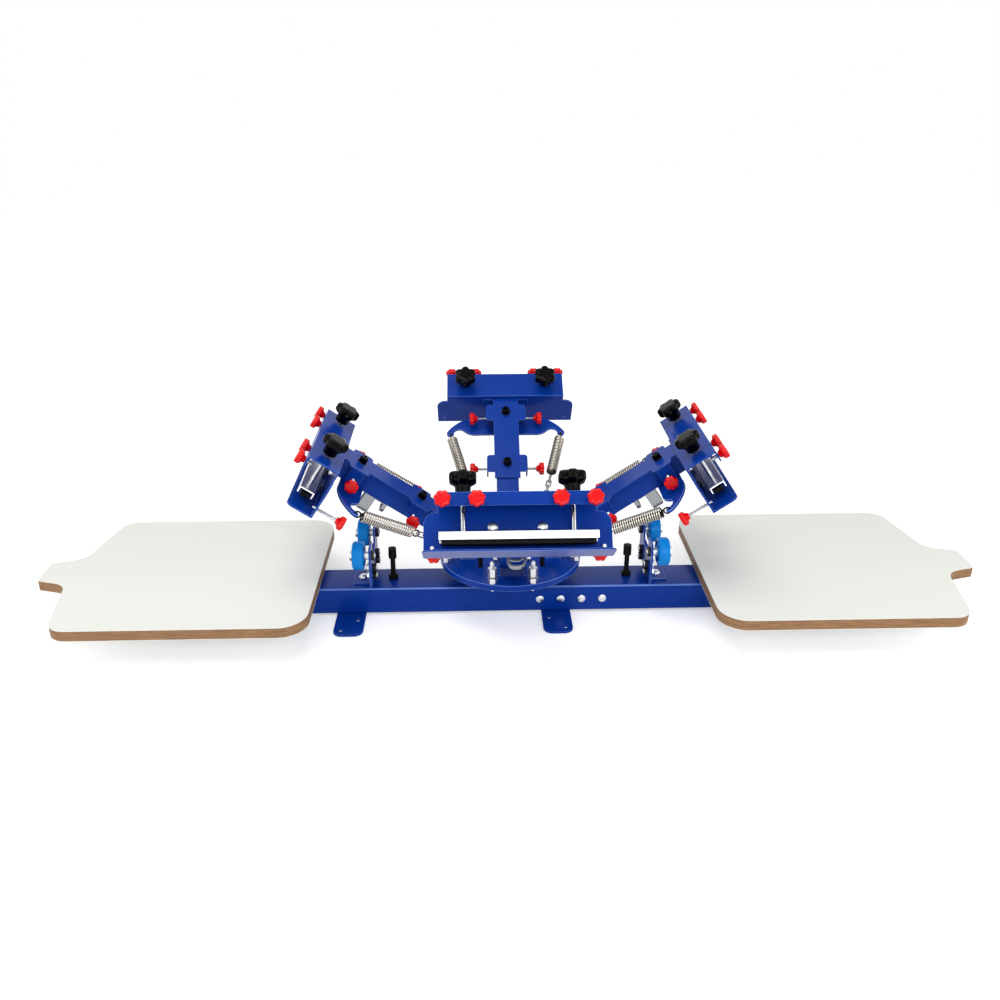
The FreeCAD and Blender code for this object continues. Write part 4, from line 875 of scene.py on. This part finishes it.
# %% Rollers
ROLLER_R, ROLLER_HALF, ROLLER_BORE = 28, 11, 5.06
half_roller = [(ROLLER_BORE, ROLLER_HALF), (11, ROLLER_HALF), (12, 10.4), (12.6, 8.4), (19.5, 8.4),
               (20.6, 10.4), (21.6, ROLLER_HALF), (24.6, ROLLER_HALF), (26.6, 10), (27.7, 8.2), (ROLLER_R, 6)]
roller_profile = [(r, -h) for r, h in half_roller] + half_roller[::-1] + [(ROLLER_BORE, -ROLLER_HALF)]
wheel = lathe(roller_profile, 64)
for side, x in (("left", -1), ("right", 1)):
    for row in ("front", "rear"):
        name = "roller_%s_%s" % (side, row)
        spot = joints[name + "_spin"]["pos_m"]
        points, faces = joined([(moved(wheel, shifted(*spot) @ AIM["+X"] @ scaled(MM)), True)])
        made = piece(name + "_wheel", points, faces, azure_plastic, name)
        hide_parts(name)
print("rollers turned")

# %% [markdown]
# Floor, backdrop and light
# The press stands on a pale table in an even white studio. Camera rays see the table a little
# brighter than it is lit, so it reads as white while it still holds the soft shadow. Large soft lamps
# overhead and in front give paint its broad grey sheen and metal its bright streaks.

# %% Studio
FLOOR_HALF, FLOOR_Z = 6, -0.0005
NEAR, FAR = 0.7, 2.4  # metres from the hub between which the floor fades to white
SEEN_RAYS = ("Is Camera Ray", "Is Glossy Ray", "Is Transmission Ray")


def seen_by_eye(tree):
    """1 for rays from the camera, from reflections and through glass, else 0."""
    rays = add(tree, "ShaderNodeLightPath")
    seen, bounced, passed = [rays.outputs[name] for name in SEEN_RAYS]
    first = add(tree, "ShaderNodeMath", {"operation": "MAXIMUM"}, {0: seen, 1: bounced})
    either = add(tree, "ShaderNodeMath", {"operation": "MAXIMUM"}, {0: first.outputs["Value"], 1: passed})
    return either.outputs["Value"]


def studio_floor():
    """Diffuse pale floor that adds white for the eye, little near the press and full far from it."""
    material, tree, output = new_material("pale_studio_floor")
    place = add(tree, "ShaderNodeTexCoord").outputs["Object"]
    far = add(tree, "ShaderNodeVectorMath", {"operation": "LENGTH"}, {0: place})
    fade = add(tree, "ShaderNodeMapRange", {"interpolation_type": "SMOOTHSTEP"},
               {"Value": far.outputs["Value"], "From Min": NEAR, "From Max": FAR, "To Min": 0.4, "To Max": 1.0})
    diffuse = add(tree, "ShaderNodeBsdfDiffuse", feeds={"Color": linear("#F0F0F0")})
    glow = add(tree, "ShaderNodeEmission",
               feeds={"Color": linear("#FFFFFF"), "Strength": fade.outputs["Result"]})
    lit = add(tree, "ShaderNodeAddShader", feeds={0: diffuse.outputs["BSDF"], 1: glow.outputs["Emission"]})
    mix = add(tree, "ShaderNodeMixShader", feeds={0: seen_by_eye(tree), 1: diffuse.outputs["BSDF"],
                                                  2: lit.outputs["Shader"]})
    tree.links.new(mix.outputs["Shader"], output.inputs["Surface"])
    return material


corners = np.array([(-1, -1), (1, -1), (1, 1), (-1, 1)]) * FLOOR_HALF
floor_mesh = bpy.data.meshes.new("floor")
floor_mesh.from_pydata([(x, y, FLOOR_Z) for x, y in corners.tolist()], [], [(0, 1, 2, 3)])
floor_mesh.materials.append(studio_floor())
floor = bpy.data.objects.new("floor", floor_mesh)
bpy.context.scene.collection.objects.link(floor)


def soft_lamp(name, place, aim, size, power):
    """A square area lamp at a place, turned to face a point."""
    data = bpy.data.lights.new(name, "AREA")
    data.shape = "RECTANGLE"
    data.size, data.size_y = size
    data.energy = power
    lamp = bpy.data.objects.new(name, data)
    lamp.location = place
    toward = np.array(aim) - np.array(place)
    flat = math.hypot(toward[0], toward[1])
    lamp.rotation_euler = (math.atan2(flat, -toward[2]), 0, math.atan2(-toward[0], toward[1]))
    bpy.context.scene.collection.objects.link(lamp)
    return lamp


soft_lamp("key_overhead", (-0.4, -0.4, 2.4), (0, 0, 0.1), (2.0, 1.3), 26)
soft_lamp("front_fill", (0.5, -2.6, 1.5), (0, 0, 0.15), (1.8, 1.1), 29)
soft_lamp("back_window", (0, 2.8, 1.8), (0, 0, 0.1), (3.0, 1.4), 4)
soft_lamp("left_strip", (-2.2, -0.9, 1.2), (0, 0, 0.15), (0.25, 1.6), 12)
soft_lamp("right_strip", (2.2, -0.7, 1.2), (0, 0, 0.15), (0.25, 1.6), 12)
world = bpy.data.worlds.new("studio_air")
world.use_nodes = True
world.node_tree.nodes.clear()
air_out = add(world.node_tree, "ShaderNodeOutputWorld")
level = add(world.node_tree, "ShaderNodeMapRange",
            feeds={"Value": seen_by_eye(world.node_tree), "To Min": 0.35, "To Max": 1.0})
air = add(world.node_tree, "ShaderNodeBackground",
          feeds={"Color": linear("#FFFFFF"), "Strength": level.outputs["Result"]})
world.node_tree.links.new(air.outputs["Background"], air_out.inputs["Surface"])
bpy.context.scene.world = world
bpy.context.scene.view_settings.view_transform = "Standard"
print("studio ready")
